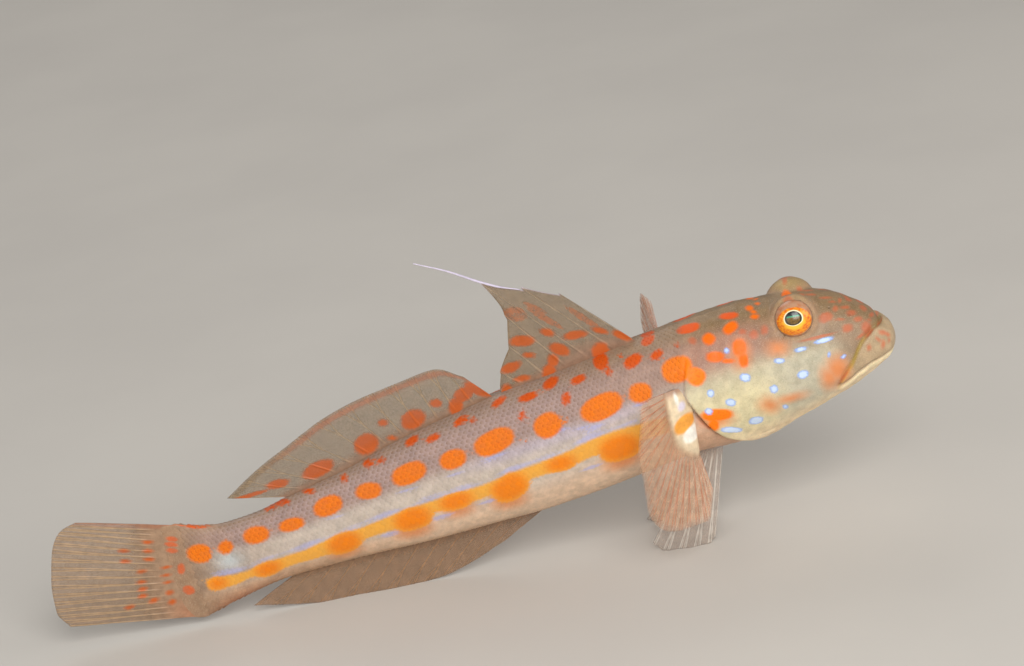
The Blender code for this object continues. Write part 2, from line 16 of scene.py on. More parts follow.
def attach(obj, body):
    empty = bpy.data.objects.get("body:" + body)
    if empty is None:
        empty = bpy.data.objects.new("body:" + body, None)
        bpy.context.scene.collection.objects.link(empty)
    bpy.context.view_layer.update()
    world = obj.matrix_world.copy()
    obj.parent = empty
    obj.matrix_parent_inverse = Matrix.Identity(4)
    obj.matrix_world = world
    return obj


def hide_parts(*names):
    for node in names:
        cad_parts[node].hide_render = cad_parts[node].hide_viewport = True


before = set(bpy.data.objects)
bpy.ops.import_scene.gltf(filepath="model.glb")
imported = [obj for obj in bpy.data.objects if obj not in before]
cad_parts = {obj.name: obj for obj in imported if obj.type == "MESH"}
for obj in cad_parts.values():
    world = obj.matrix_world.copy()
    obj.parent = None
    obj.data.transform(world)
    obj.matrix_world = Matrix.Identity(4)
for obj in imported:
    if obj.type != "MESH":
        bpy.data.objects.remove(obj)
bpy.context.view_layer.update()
MM = 0.001

# Shape of the body, with the same sizes as the solids

BODY_LENGTH = 129.0
SNOUT_X = 75.8
SNOUT_Z = 30.9
PITCH = ((0, -0.5), (10, 0.5), (20, 10), (34, 9), (50, 13), (62, 10), (92, 10.6), (113, 10.5), (129, 5))
TURN = ((0, 5), (22, 5), (50, 0), (129, 0))
SECTIONS = (
    (0.0, 0.0, 0.0, 0.0),
    (0.4, 1.6, 1.6, 2.3),
    (1.4, 2.7, 3.0, 3.8),
    (5.0, 6.3, 5.7, 6.0),
    (10.0, 9.1, 8.3, 7.5),
    (15.0, 10.5, 10.0, 8.3),
    (20.0, 11.1, 11.0, 8.9),
    (25.5, 11.8, 12.1, 9.4),
    (31.0, 11.8, 12.0, 9.7),
    (40.0, 11.3, 11.3, 9.3),
    (51.0, 11.5, 11.3, 8.8),
    (65.0, 11.6, 11.3, 7.9),
    (76.0, 10.9, 10.5, 6.8),
    (87.0, 9.9, 9.6, 5.7),
    (97.0, 8.3, 8.3, 4.6),
    (107.0, 7.4, 7.2, 3.7),
    (114.5, 6.6, 6.7, 3.0),
    (120.0, 6.8, 7.2, 2.3),
    (125.0, 8.0, 8.2, 1.5),
    (129.0, 9.6, 9.3, 0.9),
)
ROUNDNESS = 0.92
GILL_OPENING = (
    (0, 33.5), (50, 35.2), (68, 36.6), (80, 37.1), (97, 36.1), (124, 33.5), (143, 30.2), (158, 27.6),
    (180, 26.5),
)
GILL_GROOVE = 0.7
GILL_GROOVE_WIDTH = 0.35
EYE_PLACE = (15.8, 8.1, 4.9)
EYE_RADIUS = 3.5
EYE_AXIS = (0.93, 0.37)
ORBIT_RADIUS = 4.1
ORBIT_SINK = 0.7
ORBIT_BLEND = 0.5
ORBIT_FOOT = 0.55
ORBIT_EDGE = 1.0
ORBIT_FADE = 2.0
LIP_GROOVE = (
    (0.0, 4.0), (2.3, 3.8), (3.3, 3.8), (4.4, 3.3), (5.6, 2.4), (6.8, 1.1), (7.8, -0.3), (8.8, -1.5),
    (10.0, -3.1), (11.2, -5.0),
)
MOUTH_LINE = ((0.0, -1.2), (2.4, -1.6), (5.0, -2.0), (6.8, -2.8), (8.6, -3.8), (11.2, -5.2))
MOUTH_LENGTH = 11.0
MOUTH_SLIT = 0.5
MOUTH_CORNER = 1.2
MOUTH_DEPTH = 0.55
LIP_RELIEF = 0.45
LIP_EDGE = 0.9
LIP_NOTCH = 0.7
LIP_NOTCH_WIDTH = 0.55
LIP_NOTCH_GROWS = (1.5, 3.5)
LIP_CREASE = 0.22
LOWER_LIP_WIDTH = 1.7
LOWER_LIP_SHARE = 0.7
SNOUT_BLUNTNESS = 0.8
GILL_COVER_RELIEF = 0.6
GILL_COVER_WIDTH = 3.0
GILL_COVER_GROWS = (45.0, 70.0)
GILL_COVER_FADES = (150.0, 180.0)
BEHIND_GILLS_SHARE = -0.5
SWELLINGS = ((22.0, -1.5, 6.0, 4.5, 0.35), (11.0, 7.6, 2.4, 2.2, 0.2))


def smooth_curve(table, keys):
    """Values of a table at the given keys, along a curve that keeps between its neighbours."""
    table = np.asarray(table, float)
    x, y = table[:, 0], table[:, 1:]
    step = np.diff(x)[:, None]
    slope = np.diff(y, axis=0) / step
    tangent = np.zeros_like(y)
    same = slope[:-1] * slope[1:] > 0
    both = slope[:-1] + slope[1:]
    tangent[1:-1] = np.where(same, 2 * slope[:-1] * slope[1:] / np.where(same, both, 1.0), 0.0)
    tangent[0], tangent[-1] = slope[0], slope[-1]
    keys = np.asarray(keys, float)
    i = np.clip(np.searchsorted(x, keys) - 1, 0, len(x) - 2)
    t = np.clip((keys - x[i]) / step[i, 0], 0.0, 1.0)[..., None]
    a, b = y[i], y[i + 1]
    m, n = tangent[i] * step[i], tangent[i + 1] * step[i]
    value = (2 * t**3 - 3 * t**2 + 1) * a + (t**3 - 2 * t**2 + t) * m
    return value + (3 * t**2 - 2 * t**3) * b + (t**3 - t**2) * n


def ease(value):
    value = np.clip(value, 0.0, 1.0)
    return value * value * (3 - 2 * value)


def span(value, low, high):
    """A soft step from 0 at the low value to 1 at the high one, which may also be the smaller of the two."""
    return ease((value - low) / (high - low))


def bell(value, width):
    """A soft bump, 1 where the value is 0."""
    return np.exp(-((value / width) ** 2))


def along(points, u):
    """Points at the shares u of a smooth curve through the given ones."""
    points = np.asarray(points, float)
    keys = np.linspace(0.0, 1.0, len(points))
    return smooth_curve(np.column_stack([keys, points]), u)


AXIS_STEPS = np.linspace(0.0, BODY_LENGTH, 517)
AXIS_PITCH = np.radians(smooth_curve(PITCH, AXIS_STEPS)[:, 0])
AXIS_TURN = np.radians(smooth_curve(TURN, AXIS_STEPS)[:, 0])


def travelled(values):
    steps = (values[1:] + values[:-1]) / 2 * np.diff(AXIS_STEPS)
    return np.concatenate([[0.0], np.cumsum(steps)])


AXIS_X = SNOUT_X - travelled(np.cos(AXIS_PITCH) * np.cos(AXIS_TURN))
AXIS_Y = travelled(np.cos(AXIS_PITCH) * np.sin(AXIS_TURN))
AXIS_Y = AXIS_Y - AXIS_Y[-1]
AXIS_Z = SNOUT_Z - travelled(np.sin(AXIS_PITCH))


def from_axis(s, out, height):
    """World points at a distance s from the snout, a distance out towards -Y, and a height above the axis."""
    pitch = np.interp(s, AXIS_STEPS, AXIS_PITCH)
    turn = np.interp(s, AXIS_STEPS, AXIS_TURN)
    past = np.maximum(np.asarray(s, float) - BODY_LENGTH, 0.0)
    back = past * np.cos(pitch) + height * np.sin(pitch)
    x = np.interp(s, AXIS_STEPS, AXIS_X) - back * np.cos(turn) - out * np.sin(turn)
    y = np.interp(s, AXIS_STEPS, AXIS_Y) + back * np.sin(turn) - out * np.cos(turn)
    z = np.interp(s, AXIS_STEPS, AXIS_Z) - past * np.sin(pitch) + height * np.cos(pitch)
    return np.stack(np.broadcast_arrays(x, y, z), axis=-1)


def section_sizes(s):
    """Height above the axis, depth below it and half width. The root keeps the snout round."""
    table = np.asarray(SECTIONS, float)
    table[:, 0] = np.sqrt(table[:, 0])
    return np.moveaxis(smooth_curve(table, np.sqrt(np.clip(s, 0.0, BODY_LENGTH))), -1, 0)


def turned(angle):
    """Degrees round from the back, alike on both sides."""
    return np.degrees(np.arccos(np.clip(np.cos(angle), -1.0, 1.0)))


def gill_opening(angle):
    return smooth_curve(GILL_OPENING, turned(angle))[..., 0]


def mouth_line(s):
    return smooth_curve(MOUTH_LINE, np.clip(s, 0.0, MOUTH_LINE[-1][0]))[..., 0]


def groove_line(s):
    return smooth_curve(LIP_GROOVE, np.clip(s, 0.0, LIP_GROOVE[-1][0]))[..., 0]


def at_mouth(s):
    """1 along the mouth and 0 behind its corner."""
    return 1.0 - ease((s - MOUTH_LENGTH) / MOUTH_CORNER + 0.5)


def face_relief(s, height):
    """How far the lips, the cheek and the brow stand out of the head's plain section."""
    line = mouth_line(s)
    front = at_mouth(s)
    upper = ease((groove_line(s) - height) / LIP_EDGE) * ease((height - line) / MOUTH_SLIT + 0.5)
    below = np.clip((line - height) / LOWER_LIP_WIDTH, 0.0, 1.0)
    relief = LIP_RELIEF * front * (upper + LOWER_LIP_SHARE * np.sin(np.pi * below))
    notch = span(height, *LIP_NOTCH_GROWS) * bell(height - groove_line(s), LIP_NOTCH_WIDTH)
    relief = relief - LIP_NOTCH * front * notch
    for place, level, length, width, rise in SWELLINGS:
        relief = relief + rise * bell(s - place, length) * bell(height - level, width)
    return relief


def gill_relief(s, angle):
    """The gill cover's edge stands out, and the body starts a little inside it."""
    turn = turned(angle)
    ahead = gill_opening(angle) - s
    edge = np.where(ahead >= 0, 1.0, BEHIND_GILLS_SHARE) * bell(ahead, GILL_COVER_WIDTH)
    return GILL_COVER_RELIEF * span(turn, *GILL_COVER_GROWS) * (1.0 - span(turn, *GILL_COVER_FADES) / 2) * edge


def eye_frame(side):
    """Centre of an eye, the way it looks and the centre of its orbit. The side is 1 on -Y, and -1 on +Y."""
    s, height, out = EYE_PLACE
    centre = from_axis(s, side * out, height)
    look = from_axis(s, side * EYE_AXIS[0], EYE_AXIS[1]) - from_axis(s, 0.0, 0.0)
    look /= np.linalg.norm(look)
    return centre, look, centre - ORBIT_SINK * look


def swell_orbits(points):
    """Pushes the points near each eye out to a sphere round it, which makes the raised orbit."""
    for side in (1, -1):
        _, look, orbit = eye_frame(side)
        inside = orbit - ORBIT_FOOT * ORBIT_RADIUS * look
        ray = points - inside
        far = np.linalg.norm(ray, axis=-1)
        ray /= far[..., None]
        to_orbit = ray @ (orbit - inside)
        reach = to_orbit + np.sqrt(ORBIT_RADIUS**2 * (1.0 - ORBIT_FOOT**2) + to_orbit**2)
        wide = (far + reach + np.sqrt((far - reach) ** 2 + ORBIT_BLEND**2)) / 2
        near = 1.0 - ease((far - reach - ORBIT_EDGE) / ORBIT_FADE)
        points = inside + ray * (far + near * (wide - far))[..., None]
    return points


def body_surface(s, angle, detail=None):
    """World points of the skin. The detail is a further relief, a function of s, height and angle."""
    up, down, half = section_sizes(s)
    c, d = np.cos(angle), np.sin(angle)
    height = np.where(c > 0, up, down) * np.sign(c) * np.abs(c) ** ROUNDNESS
    out = half * np.sign(d) * np.abs(d) ** ROUNDNESS
    reach = np.maximum(np.hypot(height, out), 1e-6)
    relief = face_relief(s, height) + gill_relief(s, angle)
    if detail is not None:
        relief = relief + detail(s, height, angle)
    grown = 1.0 + relief * ease(s / SNOUT_BLUNTNESS) / reach
    return swell_orbits(from_axis(s, out * grown, height * grown))


# Markings: rows of s, angle, length, width and tilt in degrees from tailwards, turning bellywards

SIDE_SPOTS = (
    (126.5, 68, 4.1, 3.3, 6), (121.5, 64, 2.8, 2.4, 37), (115.5, 57, 4.6, 3.0, -4), (109.0, 62, 4.6, 2.3, -8),
    (101.8, 56, 5.3, 3.3, 3), (94.2, 58, 4.6, 2.9, -14), (86.5, 58, 6.3, 3.6, 2), (78.5, 61, 4.7, 3.3, 0),
    (70.8, 59, 7.3, 4.0, 6), (61.2, 61, 4.8, 4.2, 12), (51.2, 62, 7.5, 4.2, 4), (44.2, 63, 3.9, 3.4, -17),
    (37.0, 54, 5.3, 4.4, -3), (34.3, 66, 3.2, 3.0, -49), (57.8, 62, 0.9, 0.7, 40), (65.8, 67, 0.7, 0.6, 46),
    (33.0, 100, 5.4, 2.2, -20), (34.2, 108, 2.4, 1.8, 75),
)
BACK_SPOTS = (
    (40.2, 7, 3.2, 2.3, 74), (33.2, 14, 4.0, 2.4, -13), (25.8, 16, 3.2, 1.7, -22), (43.5, 29, 3.4, 2.4, 25),
    (39.5, 32, 2.4, 1.7, 30), (53.2, 26, 2.7, 1.7, 5), (56.5, 42, 2.5, 1.6, 71), (47.8, 31, 1.7, 1.2, 77),
    (62.8, 25, 3.4, 1.7, 0), (64.8, 44, 1.9, 1.3, 71), (58.2, 16, 3.2, 2.4, 43), (67.8, 16, 3.1, 1.7, 30),
    (75.2, 20, 2.7, 1.6, 32), (73.0, 27, 1.5, 1.3, -71), (84.2, 17, 2.7, 1.9, 23), (80.5, 28, 2.7, 1.4, 5),
    (92.8, 16, 2.4, 1.6, -76), (90.2, 25, 1.6, 1.3, -59), (97.5, 22, 2.1, 1.4, -90),
    (104.2, 14, 2.6, 1.2, -35), (109.2, 8, 3.2, 1.4, -43), (111.8, 6, 2.0, 1.1, -49),
    (35.8, 30, 1.0, 0.8, -76), (45.2, 16, 1.2, 0.8, -87), (48.5, 12, 4.6, 2.6, -89),
)
HEAD_SPOTS = (
    (26.0, 32, 2.7, 2.0, 23), (30.2, 36, 2.2, 2.0, -57), (22.0, 12, 1.6, 1.2, -75), (21.5, 26, 1.3, 1.0, -20),
    (20.5, 6, 1.0, 0.7, -58), (21.5, 19, 1.0, 0.7, -44), (25.5, 54, 2.7, 2.2, 75), (25.5, 66, 2.3, 1.5, 77),
    (30.0, 55, 3.0, 1.8, -19), (28.2, 62, 2.2, 0.7, -20), (16.2, -1, 2.2, 1.0, 81),
)
FACE_MARKS = (
    (10.8, 12, 1.8, 0.6, 11), (12.8, 6, 1.5, 0.7, -7), (9.8, 19, 1.0, 0.5, 21), (8.5, 12, 1.4, 0.5, 77),
    (7.0, 2, 1.6, 1.0, 67), (7.8, 24, 1.7, 0.7, 26), (9.5, 30, 1.2, 0.8, 57), (7.0, 32, 1.9, 1.1, 30),
    (4.8, 10, 1.8, 1.3, 72), (3.5, 16, 2.2, 0.7, 63), (6.0, 40, 1.5, 0.9, 27), (4.2, 36, 0.8, 0.4, 32),
    (9.0, 45, 1.5, 0.4, 6), (8.0, 56, 1.8, 1.3, 16), (4.5, 50, 1.0, 0.6, 38), (4.5, 61, 2.2, 1.0, 83),
    (6.0, 66, 1.7, 0.5, 34), (2.5, 24, 3.5, 0.5, 84), (2.2, 57, 1.7, 0.9, 4), (1.5, 60, 1.3, 0.8, -13),
    (1.4, 78, 0.8, 0.6, 76), (3.2, 73, 1.3, 0.6, -33), (2.5, 84, 1.4, 0.8, 82), (5.0, 84, 1.0, 0.8, -87),
    (15.8, -19, 2.2, 0.8, 86), (14.2, -8, 1.4, 0.9, -88), (13.2, 64, 6.1, 0.5, 4), (11.3, 43, 2.4, 1.6, 25),
    (10.0, 112, 3.1, 0.5, 58), (33.0, 32, 1.5, 1.1, -53), (22.5, 46, 1.6, 1.4, 59), (24.2, 40, 1.2, 0.9, -25),
    (20.5, 44, 1.5, 1.2, 70), (15.8, 26, 2.6, 1.5, -72),
)
BLUSHES = (
    (10.8, 100, 5.4, 4.0, -88), (12.4, 107, 5.0, 3.2, 89), (19.4, 65, 3.4, 2.4, -12),
    (23.8, 108, 3.8, 3.0, -53), (20.2, 110, 5.2, 1.8, -15), (33.6, 104, 6.0, 3.2, -15),
    (25.6, 60, 4.8, 3.2, 73), (72.0, 112, 6.4, 5.4, 0), (89.6, 115, 6.8, 5.2, 0), (51.5, 111, 7.0, 4.8, 0),
    (102.2, 120, 5.8, 4.4, 0), (80.8, 108, 5.4, 3.6, 0),
)
STRIPE_BLOBS = (
    (51.2, 100, 7.6, 5.4, -6), (61.5, 95, 5.8, 3.2, -3), (71.2, 102, 7.2, 5.4, 20), (80.8, 99, 6.4, 3.6, -1),
    (89.0, 104, 7.2, 4.8, 3), (101.8, 110, 6.6, 4.6, 8), (116.0, 114, 5.4, 3.3, -1),
    (125.2, 110, 4.0, 2.8, -3),
)
BLUE_MARKS = (
    (12.2, 68, 3.3, 0.8, 7), (16.0, 72, 2.1, 0.8, 0), (19.8, 76, 1.7, 0.9, -19), (11.8, 83, 0.9, 0.5, 81),
    (9.5, 88, 1.0, 0.7, 23), (16.8, 93, 2.0, 1.4, -5), (22.2, 95, 1.5, 1.3, -84), (26.2, 80, 1.9, 1.5, -24),
    (32.8, 83, 1.4, 1.2, 76), (30.0, 94, 1.7, 1.4, -30), (34.2, 95, 1.4, 1.2, -44),
    (27.0, 119, 2.5, 1.8, -13), (31.5, 119, 3.9, 1.2, -33), (21.5, 117, 1.1, 0.8, -72),
    (27.8, 53, 0.9, 0.8, -54),
)
LILAC_BITS = (
    (84.2, 112, 4.5, 1.0, -1), (93.8, 116, 3.9, 1.0, 1), (59.5, 69, 3.4, 0.9, -9), (71.8, 73, 5.2, 0.8, 1),
    (45.0, 72, 2.7, 0.8, -11), (54.5, 75, 5.1, 0.8, -11), (79.0, 76, 3.5, 0.7, -4), (87.5, 75, 4.6, 0.7, -5),
    (101.5, 73, 4.0, 0.6, -4), (75.5, 110, 4.0, 0.8, 0), (57.0, 108, 4.0, 0.8, 0),
)
STRIPE_TOP = (
    (38, 92), (46.2, 88), (53.5, 86), (61.2, 89), (68.5, 90), (76, 92.5), (83.2, 92), (90.5, 93.5),
    (98.2, 97), (103.8, 99), (109.5, 103), (115, 103), (120, 106), (125, 102), (128, 100),
)
STRIPE_DEPTH = (
    (38, 2.2), (46, 3.0), (56, 2.6), (66, 2.2), (71, 2.5), (75, 2.2), (81, 2.5), (85, 2.1), (89, 2.6),
    (94.5, 2.3), (98, 2.2), (102, 2.8), (107, 2.3), (111, 2.0), (116, 2.3), (119.2, 1.4), (122, 1.9),
    (125.5, 2.2), (127, 0.0), (129, -1.0),
)
LILAC_RISE = 0.75
LILAC_HALF = 0.32
LILAC_PULSE = 0.3
FAR_SIDE_SHIFT = 0.4
FAR_SIDE_TURN = 3
TAIL_DASH_DEPTH = 0.05
OUTSIDE = -9.0
MARK_POWER = 2.4
MARK_MARGIN = 2.5
MARK_OFF_SKIN = 3.0


def surface_frame(s, angle, detail=None):
    """A place's point, the ways tailwards and round towards the belly of the right side, and outwards."""
    s, angle = np.broadcast_arrays(np.asarray(s, float), np.asarray(angle, float))
    low, high = np.clip(s - 0.2, 0.02, BODY_LENGTH), np.clip(s + 0.2, 0.02, BODY_LENGTH)
    tail = body_surface(high, angle, detail) - body_surface(low, angle, detail)
    ring = body_surface(s, angle + 0.01, detail) - body_surface(s, angle - 0.01, detail)
    tail /= np.linalg.norm(tail, axis=-1)[..., None]
    ring -= tail * (ring * tail).sum(-1)[..., None]
    ring /= np.linalg.norm(ring, axis=-1)[..., None]
    out = np.cross(ring, tail)
    return body_surface(s, angle, detail), tail, ring, out


def mark_field(points, marks, seed):
    """How deep inside the nearest mark each point lies, in millimetres, and negative outside all of them.

    The left side has the same marks, each a little moved.
    """
    field = np.full(len(points), OUTSIDE)
    draw = np.random.default_rng(seed)
    for side in (1, -1):
        for s, degrees, length, width, tilt in marks:
            shift = draw.uniform(-FAR_SIDE_SHIFT, FAR_SIDE_SHIFT, 2) if side < 0 else (0.0, 0.0)
            place = side * math.radians(degrees + FAR_SIDE_TURN * shift[1])
            centre, tail, ring, out = surface_frame(s + shift[0], place)
            near = np.flatnonzero(np.abs(points - centre).max(axis=1) < length / 2 + MARK_MARGIN)
            away = points[near] - centre
            t = math.radians(tilt)
            x, y = away @ tail, side * (away @ ring)
            a = (x * math.cos(t) + y * math.sin(t)) / (length / 2)
            b = (y * math.cos(t) - x * math.sin(t)) / (width / 2)
            reach = (np.abs(a) ** MARK_POWER + np.abs(b) ** MARK_POWER) ** (1 / MARK_POWER)
            depth = (1.0 - reach) * math.sqrt(length * width) / 2
            depth = np.where(np.abs(away @ out) < MARK_OFF_SKIN, depth, OUTSIDE)
            field[near] = np.maximum(field[near], depth)
    return field


def arc_table():
    """Arc lengths from the side's midline round the body, by s and angle, with the midline at 90 degrees."""
    s = np.linspace(1.0, BODY_LENGTH, 257)
    angle = np.radians(np.linspace(0.0, 180.0, 181))
    points = body_surface(s[:, None], angle[None, :])
    steps = np.linalg.norm(np.diff(points, axis=1), axis=2)
    arc = np.concatenate([np.zeros((len(s), 1)), np.cumsum(steps, axis=1)], axis=1)
    return s, angle, arc - arc[:, 90:91]


ARC_S, ARC_ANGLE, ARC = arc_table()


def arc_at(s, turn):
    """Arc length from the side's midline to an angle, in degrees, bellywards positive."""
    i = np.clip((np.asarray(s) - ARC_S[0]) / (ARC_S[1] - ARC_S[0]), 0, len(ARC_S) - 1.001)
    j = np.clip(np.asarray(turn, float), 0, 179.999)
    i0, j0 = i.astype(int), j.astype(int)
    fi, fj = i - i0, j - j0
    top = ARC[i0, j0] * (1 - fj) + ARC[i0, j0 + 1] * fj
    low = ARC[i0 + 1, j0] * (1 - fj) + ARC[i0 + 1, j0 + 1] * fj
    return top * (1 - fi) + low * fi


def angle_at(s, arc):
    """The angle in radians at arc lengths from the side's midline, for one s."""
    i = np.clip((s - ARC_S[0]) / (ARC_S[1] - ARC_S[0]), 0, len(ARC_S) - 1.001)
    row = ARC[int(i)] * (1 - i % 1) + ARC[int(i) + 1] * (i % 1)
    return np.interp(arc, row, ARC_ANGLE)


BACK = (160, 130, 101)
FLANK = (172, 139, 122)
MIDDLE = (204, 186, 170)
MIDDLE_REAR = (176, 152, 134)
LILAC_WASH = (190, 176, 206)
BELLY = (236, 200, 168)
BELLY_REAR = (200, 158, 126)
UNDERSIDE = (204, 164, 126)
CROWN = (137, 111, 79)
NAPE = (166, 124, 104)
CHEEK = (218, 205, 164)
CHEEK_FRONT = (192, 184, 160)
SNOUT = (154, 129, 104)
LIP = (190, 165, 130)
LIP_OLIVE = (180, 150, 60)
LIP_HIGHLIGHT_CREAM = (238, 222, 178)
OCHRE = (166, 142, 88)
CHIN = (245, 219, 179)
ORBIT = (177, 142, 110)
TAIL_FOOT = (176, 112, 78)
TAIL_END = (160, 129, 102)
TAIL_HIGHLIGHT = (206, 214, 214)
BREAST = (208, 166, 136)

# Layers of colour, each with its share, the degrees round from the back and the s that it grows over

ALL = (-2.0, -1.0)
UPPER_TONES = (
    (FLANK, 1.0, (12, 42), ALL),
    (MIDDLE, 1.0, (60, 78), ALL),
    (MIDDLE_REAR, 1.0, (60, 78), (110, 126)),
)
LOWER_TONES = (
    (UNDERSIDE, 0.8, (140, 172), ALL),
    (BREAST, 1.0, (100, 122), (47, 38)),
    (TAIL_FOOT, 0.85, (128, 160), (112, 122)),
    (TAIL_FOOT, 0.7, (26, 8), (120, 127)),
    (TAIL_END, 1.0, ALL, (123, 130)),
)
HEAD_TONES = (
    (NAPE, 1.0, (18, 45), (15, 26)),
    (SNOUT, 1.0, (20, 60), (19, 12)),
    (CHEEK_FRONT, 1.0, (56, 84), (7, 13)),
    (CHEEK, 1.0, (62, 98), (18, 26)),
    (CHIN, 1.0, (118, 150), ALL),
)
WASH_SHARE = 0.4
WASH_TURN = (74, 6)
WASH_GROWS = (42, 48)
WASH_FADES = (82, 70)
BELLY_UNDER_STRIPE = (6, 34)
BELLY_REAR_GROWS = (85, 115)
TAIL_HIGHLIGHT_SHARE = 0.75
TAIL_HIGHLIGHT_PLACE = (121.6, 85)
TAIL_HIGHLIGHT_SIZE = (2.4, 13)
LIP_TONE = (0.75, 1.2)
LIP_FADE = 1.0
CHIN_EDGE = (-0.2, 0.4)
OLIVE = (0.85, 0.2, 0.5)
OLIVE_GROWS = (4.0, 7.0)
OLIVE_FRONT = 0.35
CREAM_HIGHLIGHT_LINE = (0.8, 0.5, 0.3)
ORBIT_TONE = 0.8
ORBIT_RIM = (4.9, 4.0)
OCHRE_GROWS = (2.2, 3.8)
OCHRE_SHARES = {1: 0.25, -1: 0.7}
NAPE_SOFT = (0.5, 4.5)
NAPE_SOFT_TURN = (62, 35)


def linear(colour):
    """A screen colour, 0 to 255, as the linear values that shaders use."""
    c = np.asarray(colour, float) / 255
    return np.where(c <= 0.04045, c / 12.92, ((c + 0.055) / 1.055) ** 2.4)


def mix(colours, colour, share):
    share = np.clip(np.asarray(share, float), 0.0, 1.0)[:, None]
    return colours * (1 - share) + linear(colour) * share


def layered(tone, rows, turn, s):
    for colour, share, round_body, along_body in rows:
        tone = mix(tone, colour, share * span(turn, *round_body) * span(s, *along_body))
    return tone


def plain_height(s, angle):
    """Height over the body's axis, of the plain section."""
    up, down, _ = section_sizes(s)
    return np.where(np.cos(angle) > 0, up, down) * np.cos(angle)


def stripe_top(s):
    return smooth_curve(STRIPE_TOP, np.clip(s, STRIPE_TOP[0][0], STRIPE_TOP[-1][0]))[:, 0]


def head_tones(points, s, angle):
    head = np.tile(linear(CROWN), (len(s), 1))
    head = layered(head, HEAD_TONES, turned(angle), s)
    height = plain_height(s, angle)
    under_groove = groove_line(s) - height
    under_mouth = mouth_line(s) - height
    front = span(s, MOUTH_LENGTH + LIP_FADE, MOUTH_LENGTH - LIP_FADE)
    share, deep = LIP_TONE
    head = mix(head, LIP, span(under_groove, 0.0, deep) * front * share)
    head = mix(head, CHIN, span(under_mouth, *CHIN_EDGE) * front)
    share, place, width = OLIVE
    olive = bell(place - under_groove, width) * (OLIVE_FRONT + (1.0 - OLIVE_FRONT) * span(s, *OLIVE_GROWS))
    head = mix(head, LIP_OLIVE, olive * front * share)
    # the lower lip's cream edge, with a painted highlight along it just under the mouth
    share, place, width = CREAM_HIGHLIGHT_LINE
    head = mix(head, LIP_HIGHLIGHT_CREAM, bell(place - under_mouth, width) * front * share)
    for side in (1, -1):
        _, _, orbit = eye_frame(side)
        away = points - orbit
        near = span(np.linalg.norm(away, axis=1), *ORBIT_RIM)
        head = mix(head, ORBIT, near * ORBIT_TONE)
        head = mix(head, OCHRE, near * span(away[:, 2], *OCHRE_GROWS) * OCHRE_SHARES[side])
    return head


def ground_tones(points, s, angle):
    """The skin's own colour under all its marks, with a painted highlight on the side of the tail's root and
    along the lower lip's edge.
    """
    turn = turned(angle)
    tone = np.tile(linear(BACK), (len(s), 1))
    tone = layered(tone, UPPER_TONES, turn, s)
    place, width = WASH_TURN
    wash = bell(turn - place, width) * span(s, *WASH_GROWS) * span(s, *WASH_FADES)
    tone = mix(tone, LILAC_WASH, wash * WASH_SHARE)
    stripe = stripe_top(s)
    low = span(turn, stripe + BELLY_UNDER_STRIPE[0], stripe + BELLY_UNDER_STRIPE[1])
    tone = mix(tone, BELLY, low)
    tone = mix(tone, BELLY_REAR, low * span(s, *BELLY_REAR_GROWS))
    tone = layered(tone, LOWER_TONES, turn, s)
    # painted highlight: a pale cyan-white patch on the side of the tail's root
    pale = bell(s - TAIL_HIGHLIGHT_PLACE[0], TAIL_HIGHLIGHT_SIZE[0]) * bell(turn - TAIL_HIGHLIGHT_PLACE[1], TAIL_HIGHLIGHT_SIZE[1])
    tone = mix(tone, TAIL_HIGHLIGHT, pale * TAIL_HIGHLIGHT_SHARE)
    head = head_tones(points, s, angle)
    soft = NAPE_SOFT[0] + NAPE_SOFT[1] * span(turn, *NAPE_SOFT_TURN)
    return tone + (head - tone) * (1 - ease((s - gill_opening(angle)) / soft / 2 + 0.5))[:, None]


STRIPE_STARTS = 37.5
STRIPE_GROWS = (0.5, 2.0)
STRIPE_HALF = 0.58
LILAC_REACH = (46, 126)
DASHES_START = 126
TAIL_EDGE = 0.7
TAIL_EDGE_PLACE = (10, 125.5)
TAIL_EDGE_SIZE = (12, 5)
HEAD_RED = 0.45
NET_GROWS = (33, 40)
NET_FULL = (40, 60)
NET_FRONT = 0.25
NET_LOW = (82, 60)
NET_TAIL = (116, 127)
NET_TAIL_SHARE = 0.85


